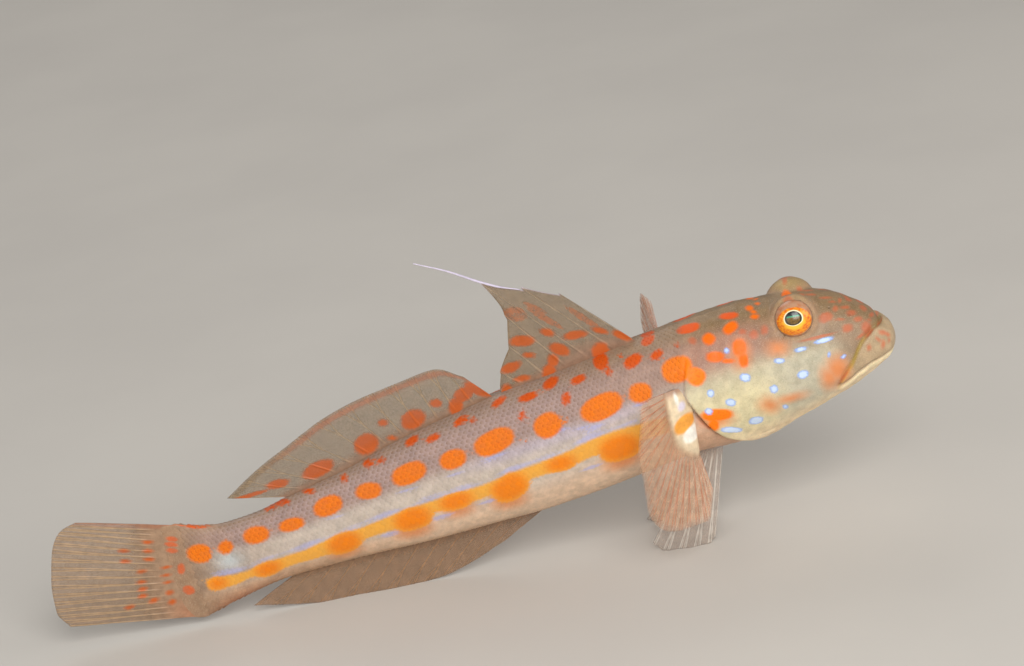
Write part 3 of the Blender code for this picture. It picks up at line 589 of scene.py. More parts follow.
def markings(points, s, angle):
    """Every mark and tone that skin and scales share, by name."""
    turn = turned(angle)
    under_top = arc_at(s, turn) - arc_at(s, stripe_top(s))
    depth = smooth_curve(STRIPE_DEPTH, np.clip(s, STRIPE_DEPTH[0][0], STRIPE_DEPTH[-1][0]))[:, 0]
    line = depth * STRIPE_HALF - np.abs(under_top - depth / 2)
    on_body = span(s - gill_opening(angle), *STRIPE_GROWS) * (np.asarray(s) > STRIPE_STARTS)
    line = np.where(on_body > 0, line, OUTSIDE) - (1 - on_body)
    pulse = LILAC_PULSE * (np.sin(s * 0.83) + np.sin(s * 0.47 + 1.0)) / 2
    lilac = LILAC_HALF + pulse - np.abs(under_top + LILAC_RISE)
    lilac = np.where((s > LILAC_REACH[0]) & (s < LILAC_REACH[1]), lilac, OUTSIDE)
    lilac = np.maximum(lilac, mark_field(points, LILAC_BITS, 5))
    back = mark_field(points, BACK_SPOTS, 2)
    head = mark_field(points, HEAD_SPOTS, 3)
    side = mark_field(points, SIDE_SPOTS, 1)
    blob = mark_field(points, STRIPE_BLOBS, 4)
    spot = np.maximum(np.maximum(back, head), side)
    dashes = np.minimum(plane_field(points, CAUDAL_DASHES), TAIL_DASH_DEPTH)
    dashes = np.where(s > DASHES_START, dashes, OUTSIDE)
    edge = np.abs(turn - TAIL_EDGE_PLACE[0]) / TAIL_EDGE_SIZE[0]
    edge = edge + np.abs(s - TAIL_EDGE_PLACE[1]) / TAIL_EDGE_SIZE[1]
    spot = np.maximum(spot, np.maximum(dashes, TAIL_EDGE - edge))
    net = (NET_FRONT + (1.0 - NET_FRONT) * span(s, *NET_FULL)) * span(s, *NET_GROWS)
    return {
        "tone": ground_tones(points, s, angle),
        "spot": spot,
        "red": np.where(side >= spot, 0.0, np.where(head >= spot, HEAD_RED, 1.0)),
        "stripe": np.maximum(line, blob),
        "blob": blob,
        "lilac": lilac,
        "blue": mark_field(points, BLUE_MARKS, 6),
        "face": mark_field(points, FACE_MARKS, 7),
        "blush": mark_field(points, BLUSHES, 8),
        "net": net * span(turn, *NET_LOW) * (1 - NET_TAIL_SHARE * span(s, *NET_TAIL)),
    }


# Meshes

FLESH_NODES = ("head", "trunk", "tail", "caudal_peduncle")
SKIN_COLUMNS = 252
SKIN_INSET = 0.06
RIM_ALONG = 68.0
RIM_ACROSS = 66.0
RIM_SNAP = 3.2
RIM_ROUND = 13.0
RIM_HEIGHT = 0.04
UNDER_EYE = 0.8
NEAR_EYE = 1.5
FAR_OFF = 9.0
TAIL_SKIN = 5.0
# s, angle, radius, rise and the body's radius there
NOSTRILS = ((7.4, 36, 0.4, 0.2, 7.4), (10.6, 30, 0.38, 0.12, 8.8))
NOSTRIL_RIM = 0.2
NOSTRIL_HOLE = (0.4, 0.22)
LIP_CREASE_WIDTH = 0.3
MOUTH_WIDTH = 0.22
GILL_GROOVE_BEHIND = 0.25
GILL_GROOVE_GROWS = (78, 104)
CHEEK_FOLD = (0.16, 24.5, 0.7)
CHEEK_FOLD_LEAN = 0.03
CHEEK_FOLD_GROWS = (66, 80)
CHEEK_FOLD_FADES = (135, 118)
GULAR_FOLDS = ((146, 0.5, 0.2), (157, 0.35, 0.16), (167, 0.2, 0.14))
GULAR_WIDTH = 1.6
NAPE_RIDGE = (0.12, 3.5)
LUMPS = 0.05
COAT_GROWS = (0.5, 2.0)
TAIL_SKIN_POWER = 2.2
TAIL_SKIN_EDGE = 0.02
TAIL_SKIN_FOLLOWS = 0.6


def new_mesh(name, points, faces, material, attributes):
    """A mesh object from points in millimetres, with its attributes, on the root body."""
    mesh = bpy.data.meshes.new(name)
    mesh.from_pydata([tuple(p) for p in np.asarray(points) * MM], [], faces)
    mesh.update()
    for key, values in attributes.items():
        values = np.asarray(values, np.float32)
        if values.ndim == 1:
            mesh.attributes.new(key, "FLOAT", "POINT").data.foreach_set("value", values)
        else:
            colour = np.ones((len(values), 4), np.float32)
            colour[:, :3] = values
            mesh.attributes.new(key, "FLOAT_COLOR", "POINT").data.foreach_set("color", colour.ravel())
    mesh.shade_smooth()
    mesh.materials.append(material)
    obj = bpy.data.objects.new(name, mesh)
    bpy.context.scene.collection.objects.link(obj)
    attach(obj, "root")
    return obj


def sharpen(obj, rim):
    """Marks the edges between two points of a rim as sharp, so that each side is shaded for itself."""
    mesh = obj.data
    ends = np.empty(len(mesh.edges) * 2, np.int32)
    mesh.edges.foreach_get("vertices", ends)
    sharp = rim[ends].reshape(-1, 2).all(axis=1)
    layer = mesh.attributes.get("sharp_edge") or mesh.attributes.new("sharp_edge", "BOOLEAN", "EDGE")
    layer.data.foreach_set("value", sharp)


def ring_faces(rows, columns):
    i, j = np.meshgrid(np.arange(rows - 1), np.arange(columns), indexing="ij")
    k = (j + 1) % columns
    quads = np.stack([i * columns + j, i * columns + k, (i + 1) * columns + k, (i + 1) * columns + j], -1)
    return [tuple(int(v) for v in quad) for quad in quads.reshape(-1, 4)]


def nostril_reach(s, turn, nostril):
    """How far a place is from the middle of a nostril, in millimetres."""
    place, degrees, _, _, around = nostril
    return np.hypot(s - place, np.radians(turn - degrees) * around)


def fine_relief(s, height, angle):
    """The creases of the face and the gill cover, and the coat's depth left under the scales."""
    turn = turned(angle)
    behind = s - gill_opening(angle)
    relief = -LIP_CREASE * at_mouth(s) * bell(height - groove_line(s), LIP_CREASE_WIDTH)
    relief = relief - MOUTH_DEPTH * at_mouth(s) * bell(height - mouth_line(s), MOUTH_WIDTH)
    groove = span(turn, *GILL_GROOVE_GROWS) * bell(behind - GILL_GROOVE_BEHIND, GILL_GROOVE_WIDTH)
    relief = relief - GILL_GROOVE * groove
    deep, place, width = CHEEK_FOLD
    fold = bell(s - place - CHEEK_FOLD_LEAN * (turn - 100), width)
    relief = relief - deep * fold * span(turn, *CHEEK_FOLD_GROWS) * span(turn, *CHEEK_FOLD_FADES)
    for place, lean, deep in GULAR_FOLDS:
        fold = bell(turn - place - lean * (22 - s), GULAR_WIDTH)
        relief = relief - deep * fold * span(s, 10, 15) * span(s, 30, 24)
    rise, width = NAPE_RIDGE
    relief = relief + rise * bell(turn, width) * span(s, 21, 25) * span(s, 41, 38)
    for nostril in NOSTRILS:
        far = nostril_reach(s, turn, nostril)
        relief = relief + nostril[3] * bell(far - nostril[2], NOSTRIL_RIM)
        relief = relief - NOSTRIL_HOLE[0] * bell(far, NOSTRIL_HOLE[1])
    lumps = LUMPS * np.sin(s * 1.7 + 0.13 * turn) * np.sin(0.21 * turn - s * 0.9) * span(s, 38, 34)
    return relief + lumps - SKIN_INSET * span(behind, *COAT_GROWS)


def open_eyes(points):
    """Parts the skin over each eyeball: the points next to the rim move onto it, and those within go inside."""
    rims = np.full(len(points), FAR_OFF)
    for side in (1, -1):
        centre, look, _ = eye_frame(side)
        ahead = np.array([1.0, 0.0, 0.0]) - look * look[0]
        ahead /= np.linalg.norm(ahead)
        up = np.cross(look, ahead)
        ray = points - centre
        far = np.linalg.norm(ray, axis=1)
        ray /= far[:, None]
        theta = np.degrees(np.arccos(np.clip(ray @ look, -1, 1)))
        a, b = ray @ ahead, ray @ up
        flat = np.maximum(np.hypot(a, b), 1e-9)
        rim = 1 / np.sqrt((a / flat / RIM_ALONG) ** 2 + (b / flat / RIM_ACROSS) ** 2)
        near = far < EYE_RADIUS + NEAR_EYE
        gap = np.where(near, theta - rim, 90.0)
        rims = np.minimum(rims, np.where(near, np.abs(gap) / 10, FAR_OFF))
        snap = np.abs(gap) <= RIM_SNAP
        inside = gap < -RIM_SNAP
        t = np.radians(np.where(snap, rim, theta))
        round_off = np.clip((gap - RIM_SNAP) / RIM_ROUND, 0, 1)
        edge = EYE_RADIUS + RIM_HEIGHT
        reach = np.where(gap > 0, edge + (far - edge) * np.sqrt(1 - (1 - round_off) ** 2), far)
        reach = np.where(snap, edge, reach)
        reach = np.where(inside, EYE_RADIUS - UNDER_EYE, reach)
        reach = np.where(near, reach, far)
        beside = ahead * (a / flat)[:, None] + up * (b / flat)[:, None]
        moved = look * np.cos(t)[:, None] + beside * np.sin(t)[:, None]
        points = centre + np.where(near[:, None], moved * reach[:, None], ray * far[:, None])
    return points, rims


def over_tail_fin(points, past):
    """Thins the points that lie past the body's end, until the skin ends in the tail fin."""
    gone = np.clip(past / TAIL_SKIN, 0.0, 1.0)
    points[:, 1] *= (1.0 - gone) ** TAIL_SKIN_POWER * (1.0 - TAIL_SKIN_EDGE) + TAIL_SKIN_EDGE
    foot = from_axis(BODY_LENGTH + past, 0.0, 0.0)
    above = from_axis(BODY_LENGTH, 0.0, 1.0) - from_axis(BODY_LENGTH, 0.0, 0.0)
    low, high = CAUDAL_BASE
    u = np.clip(((points - foot) @ above - low) / (high - low), 0.0, 1.0)
    root = from_axis(BODY_LENGTH + GAP, 0.0 * u, low + (high - low) * u)[:, [0, 2]]
    way = along(CAUDAL_MARGIN, u) - root
    way /= np.linalg.norm(way, axis=1)[:, None]
    on_fin = root + way * (past - GAP)[:, None]
    points[:, [0, 2]] += (on_fin - points[:, [0, 2]]) * ease(gone / TAIL_SKIN_FOLLOWS)[:, None]
    return points


HEAD_STEP = 0.22
BODY_STEP = 0.42
HEAD_ROWS_END = 38.0
GROOVE_SHADE = (0.5, 0.16)
GROOVE_SHADE_FADES = (0.6, 0.0, 2.5)
MOUTH_SHADE = (0.42, 0.22)
GILL_SHADE = (0.6, 0.3, 0.32)
GILL_SHADE_GROWS = (84, 102)
NOSTRIL_SHADE = (0.8, 0.24)
LID_SHADE = (0.6, 0.3)
ORBIT_SHADE = (0.3, 0.42, 0.28)
ORBIT_SHADE_GROWS = (-0.1, 0.35)


def crease_shade(points, s, angle, rims):
    """Painted shade: how much darker the skin is painted in its grooves, at the gill opening and the nostrils,
    and at the rim and foot of each orbit.
    """
    turn = turned(angle)
    height = plain_height(s, angle)
    share, width = GROOVE_SHADE
    less, low, high = GROOVE_SHADE_FADES
    shade = share * bell(height - groove_line(s), width) * at_mouth(s) * (1 - less * span(height, low, high))
    share, width = MOUTH_SHADE
    shade = np.maximum(shade, share * bell(height - mouth_line(s), width) * at_mouth(s))
    share, place, width = GILL_SHADE
    gill = bell(s - gill_opening(angle) - place, width) * span(turn, *GILL_SHADE_GROWS)
    shade = np.maximum(shade, share * gill)
    share, width = NOSTRIL_SHADE
    for nostril in NOSTRILS:
        shade = np.maximum(shade, share * bell(nostril_reach(s, turn, nostril), width))
    share, width = LID_SHADE
    shade = np.maximum(shade, share * bell(rims, width))
    share, place, width = ORBIT_SHADE
    for side in (1, -1):
        _, look, orbit = eye_frame(side)
        away = points - orbit
        far = np.linalg.norm(away, axis=1)
        foot = bell(far - ORBIT_RADIUS - place, width) * span((away @ look) / far, *ORBIT_SHADE_GROWS)
        shade = np.maximum(shade, share * foot)
    return shade


def make_skin(material):
    tip = np.linspace(0.14, 1.0, 7) ** 2 * 0.5
    head = np.arange(0.7, HEAD_ROWS_END, HEAD_STEP)
    body = np.arange(HEAD_ROWS_END, BODY_LENGTH - 0.2, BODY_STEP)
    s = np.concatenate([tip, head, body, BODY_LENGTH + np.linspace(0.0, TAIL_SKIN, 14)])
    angle = np.arange(SKIN_COLUMNS) * 2 * math.pi / SKIN_COLUMNS
    ss, aa = (grid.ravel() for grid in np.meshgrid(s, angle, indexing="ij"))
    points, rims = open_eyes(body_surface(ss, aa, fine_relief))
    points = over_tail_fin(points, np.maximum(ss - BODY_LENGTH, 0.0))
    faces = ring_faces(len(s), SKIN_COLUMNS)
    last = len(points)
    ends = np.array([points[:SKIN_COLUMNS].mean(0), points[-SKIN_COLUMNS:].mean(0)])
    for j in range(SKIN_COLUMNS):
        k = (j + 1) % SKIN_COLUMNS
        faces.append((last, k, j))
        faces.append((last + 1, last - SKIN_COLUMNS + j, last - SKIN_COLUMNS + k))
    points = np.vstack([points, ends])
    ss, aa, rims = np.append(ss, [0.1, s[-1]]), np.append(aa, [0.0, 0.0]), np.append(rims, [FAR_OFF, FAR_OFF])
    marks = markings(points, ss, aa)
    marks["crease"] = crease_shade(points, ss, aa, rims)
    marks["net"] = np.zeros(len(points))
    skin = new_mesh("skin", points, faces, material, marks)
    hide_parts(*FLESH_NODES)


# Scales: rows along the body, each row half a scale further back than the one above it

SCALE_PITCH = ((33, 0.74), (50, 0.84), (75, 0.96), (110, 0.96), (129, 0.84))
SCALE_ROW = 0.78
SCALE_START = 0.9
BARE_BREAST = 11.0
SCALE_LIFT = 0.045
SCALE_SINK = 0.07
SCALE_LONG = (-1.0, 0.74)
SCALE_HALF = 1.16
SCALE_TAPER = 0.4
SCALE_FOOT = 0.72
SCALE_CROWN = 0.035
SCALE_UNEVEN = 0.008
SCALE_UNDER = 0.22
SCALE_ROWS = 26
SCALE_JITTER = 0.05
ROW_JITTER = 0.04
# the least share of the scales' lift, and where it starts and ends to grow
FRONT_LIFT = (0.12, 38, 62)
LOW_LIFT = (0.3, 84, 62)
TAIL_LIFT = (0.3, 128, 118)
EDGE_GROWS = (0.6, 1.0)
TICK_GROWS = (0.64, 0.86)
TICK_ENDS = (0.9, 0.5)
SCALE_ALONG = (0.0, 0.4, 0.66, 0.8, 0.91, 1.0)
SCALE_ACROSS = (-1.0, -0.55, 0.0, 0.55, 1.0)
SCALE_PATCH = 0.0015
SCALE_SPLIT = math.radians(84)


def scale_places(draw):
    """Places of the scales of one side: s, angle and length."""
    rows = []
    for row in range(-SCALE_ROWS, SCALE_ROWS + 1):
        s = 33.0 + (row % 2) * SCALE_PITCH[0][1] / 2
        while s < BODY_LENGTH - 0.8:
            pitch = float(smooth_curve(SCALE_PITCH, np.array([s]))[0, 0])
            here = s + draw.uniform(-SCALE_JITTER, SCALE_JITTER)
            arc = (row + draw.uniform(-ROW_JITTER, ROW_JITTER)) * SCALE_ROW
            low, high = float(arc_at(here, 0.0)), float(arc_at(here, 180.0))
            if low - 0.3 < arc < high + 0.3:
                angle = float(angle_at(here, arc))
                edge = float(gill_opening(np.array([angle]))[0])
                bare = BARE_BREAST * float(span(math.degrees(angle), 100, 125))
                if here > edge + SCALE_START + bare:
                    rows.append((here, angle, pitch * draw.uniform(0.96, 1.04)))
            s += pitch
    return np.array(rows)


def make_scales(name, side, low, high, material, seed):
    draw = np.random.default_rng(seed)
    places = scale_places(draw)
    places = places[(places[:, 1] >= low) & (places[:, 1] < high)]
    s, angle, pitch = places.T
    angle = side * angle
    m, n = len(SCALE_ALONG), len(SCALE_ACROSS)
    gx, gy = np.meshgrid(SCALE_ALONG, SCALE_ACROSS, indexing="ij")
    x = SCALE_LONG[0] + (SCALE_LONG[1] - SCALE_LONG[0]) * gx * (1.0 - SCALE_TAPER * gy**2 * gx)
    y = gy * SCALE_HALF * (SCALE_FOOT + (1.0 - SCALE_FOOT) * np.sin(np.pi * np.clip(gx * 0.9, 0, 1)))
    turn = np.abs(np.degrees(angle))
    lifted = 1.0
    for value, (least, start, end) in ((s, FRONT_LIFT), (turn, LOW_LIFT), (s, TAIL_LIFT)):
        lifted = lifted * (least + (1.0 - least) * span(value, start, end))
    count = len(s)
    # the body curves away under a flat plate, so each point is put at its own height over the skin
    near_s = np.clip(s[:, None, None] + x[None] * pitch[:, None, None], 0.5, BODY_LENGTH - 0.01)
    across = body_surface(s, angle + 0.01, fine_relief) - body_surface(s, angle - 0.01, fine_relief)
    turn_rate = 1.0 / np.maximum(np.linalg.norm(across, axis=1) / 0.02, 0.4)
    near_angle = angle[:, None, None] + y[None] * SCALE_ROW * turn_rate[:, None, None]
    base, _, _, up = surface_frame(near_s, near_angle, fine_relief)
    height = -SCALE_SINK + (SCALE_SINK + SCALE_LIFT) * gx - SCALE_CROWN * gy**2
    height = height[None] * lifted[:, None, None] + SKIN_INSET / 2 - SCALE_UNEVEN * draw.random((count, 1, 1))
    top = base + up * height[..., None]
    rim = [(i, 0) for i in range(m)] + [(m - 1, j) for j in range(1, n)]
    rim += [(i, n - 1) for i in range(m - 2, -1, -1)] + [(0, j) for j in range(n - 2, 0, -1)]
    flat = [i * n + j for i, j in rim]
    centre = (m // 2) * n + n // 2
    below = top.reshape(count, m * n, 3)[:, centre] - up[:, m // 2, n // 2] * SCALE_UNDER
    per = m * n + 1
    points = np.concatenate([top.reshape(count, m * n, 3), below[:, None]], axis=1).reshape(-1, 3)
    single = []
    for i in range(m - 1):
        for j in range(n - 1):
            a, b, c, d = i * n + j, (i + 1) * n + j, (i + 1) * n + j + 1, i * n + j + 1
            single.append((a, b, c, d) if side > 0 else (a, d, c, b))
    for a, b in zip(flat, flat[1:] + flat[:1]):
        single.append((b, a, m * n) if side > 0 else (a, b, m * n))
    faces = [tuple(v + k * per for v in face) for k in range(count) for face in single]
    ss = np.concatenate([near_s.reshape(count, -1), s[:, None]], axis=1).ravel()
    aa = np.concatenate([near_angle.reshape(count, -1), angle[:, None]], axis=1).ravel()
    marks = markings(points, np.clip(ss, 0.5, BODY_LENGTH), aa)
    tick = np.append((span(gx, *TICK_GROWS) * span(np.abs(gy), *TICK_ENDS)).ravel(), 0.0)
    marks["edge"] = np.tile(np.append(span(gx, *EDGE_GROWS).ravel(), 1.0), count)
    marks["tick"] = np.tile(tick, count) * np.repeat(0.6 + 0.4 * draw.random(count), per)
    marks["shade"] = np.repeat(draw.uniform(-1, 1, count), per)
    marks["crease"] = np.zeros(len(points))
    obj = new_mesh(name, points, faces, material, marks)
    on_rim = np.zeros(per, bool)
    on_rim[flat] = True
    sharpen(obj, np.tile(on_rim, count))
    u = np.tile(np.append(gx.ravel() - 0.5, 0.0), count) * 2 * SCALE_PATCH
    v = np.tile(np.append(gy.ravel() / 2, 0.0), count) * 2 * SCALE_PATCH
    u += np.repeat(0.02 + 0.96 * s / BODY_LENGTH, per)
    v += np.repeat(0.02 + 0.96 * (angle / (2 * math.pi) + 0.5), per)
    layer = obj.data.uv_layers.new(name="OFBake")
    corner = np.empty(len(obj.data.loops), np.int32)
    obj.data.loops.foreach_get("vertex_index", corner)
    layer.data.foreach_set("uv", np.stack([u[corner], v[corner]], 1).astype(np.float32).ravel())


# Fins, with the same roots and margins as the solids

GAP = 0.3
SPINE_ROOTS = (42.3, 45.9, 50.2, 54.5, 58.8, 63.1, 67.0)
SPINE_TIPS = ((20.6, 48.7), (14.5, 51.1), (7.7, 53.4), (10.8, 46.7), (10.5, 41.1), (8.2, 36.5), (7.7, 33.6))
MEMBRANE_NOTCHES = (0.06, 0.07, 0.13, 0.05, 0.04, 0.05)
FILAMENT = ((14.2, 50.7), (11.0, 51.8), (7.8, 53.4), (2.6, 56.5), (-2.6, 58.95))
FILAMENT_RADIUS = 0.2
FILAMENT_TIP = 0.09
SECOND_DORSAL = (68.9, 108.4)
SECOND_DORSAL_RAYS = 13
SECOND_DORSAL_MARGIN = (
    (1.8, 37.0), (-2.8, 39.3), (-8.6, 38.3), (-15.5, 36.8), (-23.3, 34.2), (-30.6, 30.3), (-36.9, 26.8),
    (-42.3, 23.0),
)
ANAL = (67.2, 113.0)
ANAL_RAYS = 13
ANAL_MARGIN = (
    (3.4, 5.0), (-3.5, 1.9), (-9.5, 0.3), (-15.0, -0.1), (-21.0, -0.1), (-28.0, -0.1), (-35.0, 0.6),
    (-42.0, 1.9),
)
CAUDAL_RAYS = 17
CAUDAL_BASE = (-9.0, 9.3)
CAUDAL_MARGIN = (
    (-74.2, 4.6), (-75.9, 7.7), (-75.8, 11.6), (-74.9, 16.2), (-73.6, 20.4), (-71.7, 22.9), (-68.8, 24.0),
)
PECTORAL_PLACE = 38.8
PECTORAL_ROOT = (4.2, -6.4)
PECTORAL_OUT = 0.2
PECTORAL_RAYS = 20
PECTORAL_LOBE = 1.05
LOBE_LENGTH = 0.32
PECTORAL_RIGHT = (
    (30.3, -14.0, 32.1), (29.4, -15.9, 27.9), (28.4, -17.5, 22.9), (28.3, -18.3, 14.4), (30.4, -17.8, 9.8),
    (34.0, -16.2, 8.4), (38.2, -14.4, 8.3), (40.1, -12.4, 12.8),
)
PECTORAL_LEFT = (
    (36.5, 14.8, 38.2), (35.1, 16.8, 39.1), (34.6, 17.9, 35.7), (34.4, 18.3, 31.8), (34.4, 18.3, 27.6),
    (35.0, 17.7, 23.4), (36.3, 16.2, 19.6), (38.2, 13.8, 16.8),
)
PELVIC_PLACES = (34.4, 38.8)
PELVIC_OUT = (3.7, 1.9)
PELVIC_GAP = 0.65
PELVIC_RAYS = 6
PELVIC_TIPS = (
    (39.5, 5.7, 0.8), (38.3, 6.3, -0.1), (36.0, 6.6, -0.1), (33.4, 6.4, -0.1), (30.6, 5.9, -0.1),
    (28.6, 4.8, 1.4),
)
FIN_FINENESS = 24
FIN_THICKNESS = (0.2, 0.1)
RAY_RISE = (0.12, 0.04)
RAY_HALF = (0.2, 0.1)
RAY_FORK = 0.5
RAY_SPREAD = 0.2
SPINE_THICK = 1.1
SECOND_FORK = 0.6
SECOND_FORK_SPREAD = 0.42
SECOND_FORK_THINNER = 0.05
ABOVE_FLOOR = 0.02

# Spots of the fins in their own plane: x, z, length, width and tilt in degrees up from the way forwards

FIRST_DORSAL_SPOTS = (
    (25.8, 36.6, 3.7, 3.2, -86), (24.9, 34.1, 2.1, 1.7, -21), (18.9, 38.6, 3.8, 2.2, -30),
    (17.5, 36.8, 2.6, 2.0, 83), (16.5, 34.8, 3.3, 2.4, 76), (16.4, 32.7, 2.8, 1.8, 29),
    (12.9, 41.4, 4.4, 2.1, -7), (10.2, 37.0, 3.8, 1.9, 16), (17.4, 42.1, 2.8, 1.4, -24),
    (22.0, 40.6, 4.4, 1.6, -1), (29.9, 38.9, 3.6, 1.5, -34), (26.3, 40.6, 3.1, 1.2, -28),
    (13.6, 38.6, 2.2, 1.1, -12), (11.7, 34.6, 2.9, 1.2, -1), (8.8, 33.0, 2.4, 2.0, 84),
    (7.3, 31.4, 2.5, 1.4, 39),
)
FIRST_DORSAL_FAINT = (
    (17.5, 44.7, 6.4, 1.0, -43), (23.9, 43.4, 6.4, 1.0, -45), (16.2, 46.9, 3.8, 0.8, -38),
    (12.6, 46.5, 3.8, 2.3, -25),
)
FAINT_DEPTH = -0.02
SECOND_DORSAL_SPOTS = (
    (4.0, 34.2, 5.6, 2.2, -34), (1.4, 33.8, 4.2, 2.6, 24), (-0.4, 31.9, 3.4, 2.5, 75),
    (-0.5, 29.8, 2.4, 1.5, 22), (-8.0, 31.0, 4.5, 3.6, 21), (-16.8, 28.1, 4.5, 3.9, 22),
    (-25.8, 25.2, 6.1, 2.9, 16), (-33.2, 23.9, 4.2, 1.7, 5), (-3.6, 33.1, 2.2, 1.6, -14),
    (-13.2, 31.4, 1.9, 1.4, -14), (-12.2, 28.3, 1.7, 0.9, -12), (-38.3, 22.8, 7.0, 0.8, 5),
)
CAUDAL_DASHES = (
    (-57.4, 17.8, 1.9, 0.8, -12), (-57.8, 16.1, 1.9, 0.8, -12), (-58.0, 14.5, 1.9, 0.8, -12),
    (-59.7, 12.5, 1.7, 0.8, 0), (-60.2, 10.5, 1.7, 0.8, 0), (-60.3, 9.1, 1.8, 0.8, 5),
    (-60.6, 7.8, 1.8, 0.8, 5), (-58.9, 6.6, 1.8, 1.0, 12), (-63.3, 6.2, 1.8, 0.8, 5),
    (-53.2, 17.6, 1.7, 0.8, -12), (-53.6, 16.6, 1.9, 0.8, -12), (-53.7, 15.4, 1.6, 0.8, -12),
    (-55.4, 12.4, 1.7, 0.6, -1), (-55.8, 10.9, 1.6, 0.6, -1), (-55.7, 9.5, 1.6, 0.6, -1),
    (-55.8, 7.5, 1.4, 1.0, 8), (-55.9, 5.6, 1.6, 1.1, 15), (-52.9, 11.7, 1.9, 1.2, 77),
    (-52.5, 7.4, 1.9, 1.6, -11), (-61.9, 17.0, 2.1, 0.8, -12), (-62.1, 15.0, 1.7, 0.8, -12),
)
MARGIN_BAND = 1.4

OLIVE_FIN = (136, 112, 82)
OLIVE_RAY = (166, 144, 116)
SPINE = (176, 156, 134)
RUST = (192, 84, 10)
RUST_FAINT = (170, 112, 84)
LAVENDER = (206, 196, 214)
TAIL_FIN = (156, 124, 92)
TAIL_RAY = (190, 158, 120)
ANAL_FIN = (152, 116, 84)
ANAL_RAY = (166, 128, 92)
PECTORAL_SKIN = (206, 166, 132)
PECTORAL_RAY = (186, 112, 78)
LOBE = (224, 202, 168)
LOBE_ORANGE = (240, 158, 50)
LOBE_WHITE = (246, 242, 230)
LILAC_PALE = (214, 206, 226)
PELVIC_SKIN = (184, 168, 154)
LOBE_MARKS = (
    (LILAC_PALE, ((37.3, 28.2, 1.8, 1.6, 70),), 0.8),
    (LOBE_ORANGE, ((37.2, 25.2, 4.5, 3.0, 24),), 0.95),
    (LOBE_WHITE, ((38.5, 22.9, 4.2, 2.9, 15), (36.6, 29.6, 0.8, 2.6, 8)), 0.9),
)


def in_plane(x, z):
    return np.stack(np.broadcast_arrays(x, 0.0 * np.asarray(x), z), axis=-1)


def on_back(s):
    up, _, _ = section_sizes(s)
    return from_axis(s, 0.0 * up, up + GAP)


def on_belly(s):
    _, down, _ = section_sizes(s)
    return from_axis(s, 0.0 * down, -down - GAP)


def first_dorsal_root(u):
    return on_back(np.interp(u, np.linspace(0.0, 1.0, len(SPINE_ROOTS)), SPINE_ROOTS))


def first_dorsal_tip(u):
    tips = np.asarray(SPINE_TIPS, float)
    keys = np.linspace(0.0, 1.0, len(tips))
    point = in_plane(np.interp(u, keys, tips[:, 0]), np.interp(u, keys, tips[:, 1]))
    share = u * (len(keys) - 1)
    gap = np.minimum(share.astype(int), len(MEMBRANE_NOTCHES) - 1)
    share = share - gap
    behind_spine = ease(share / 0.12) * (1 - share)
    deep = np.asarray(MEMBRANE_NOTCHES)[gap] * np.where(gap == 2, 2.6 * share * (1 - share), behind_spine)
    return point + (first_dorsal_root(u) - point) * deep[:, None]


def margin(points):
    return lambda u: in_plane(*np.moveaxis(along(points, u), -1, 0))


def side_of_body(s, heights):
    angle = np.radians(np.linspace(30.0, 150.0, 61))
    ring = body_surface(np.full_like(angle, s), angle)
    axis = from_axis(np.full_like(heights, s), 0.0 * heights, heights)
    order = np.argsort(ring[:, 2])
    y = np.interp(axis[:, 2], ring[order, 2], ring[order, 1])
    return np.column_stack([axis[:, 0], y, axis[:, 2]])


def pelvic_root(side, u):
    s = PELVIC_PLACES[0] + (PELVIC_PLACES[1] - PELVIC_PLACES[0]) * u
    out = PELVIC_OUT[0] + (PELVIC_OUT[1] - PELVIC_OUT[0]) * u
    _, down, half = section_sizes(s)
    return from_axis(s, side * out, -down * np.sqrt(1.0 - (out / half) ** 2) - PELVIC_GAP)


def plane_field(points, marks):
    """How deep inside the nearest spot of a fin each point lies, in millimetres."""
    field = np.full(len(points), OUTSIDE)
    for x, z, length, width, tilt in marks:
        t = math.radians(tilt)
        ahead, above = points[:, 0] - x, points[:, 2] - z
        a = (ahead * math.cos(t) + above * math.sin(t)) / (length / 2)
        b = (above * math.cos(t) - ahead * math.sin(t)) / (width / 2)
        field = np.maximum(field, (1.0 - np.hypot(a, b)) * math.sqrt(length * width) / 2)
    return field


def face_outwards(obj):
    work = bmesh.new()
    work.from_mesh(obj.data)
    bmesh.ops.recalc_face_normals(work, faces=work.faces)
    work.to_mesh(obj.data)
    work.free()
    obj.data.update()


def tube(path, radii, sides=14):
    """Points and faces of a closed tapering tube in the fins' plane."""
    path = np.asarray(path, float)
    way = np.gradient(path, axis=0)
    way /= np.linalg.norm(way, axis=1)[:, None]
    beside = np.array([0.0, 1.0, 0.0])
    above = np.cross(way, beside)
    t = np.arange(sides) * 2 * math.pi / sides
    ring = beside * np.cos(t)[:, None] + above[:, None] * np.sin(t)[:, None]
    points = (path[:, None] + ring * np.asarray(radii)[:, None, None]).reshape(-1, 3)
    faces = ring_faces(len(path), sides)
    faces.append(tuple(range(sides)))
    faces.append(tuple(len(points) - 1 - i for i in range(sides)))
    return points, faces


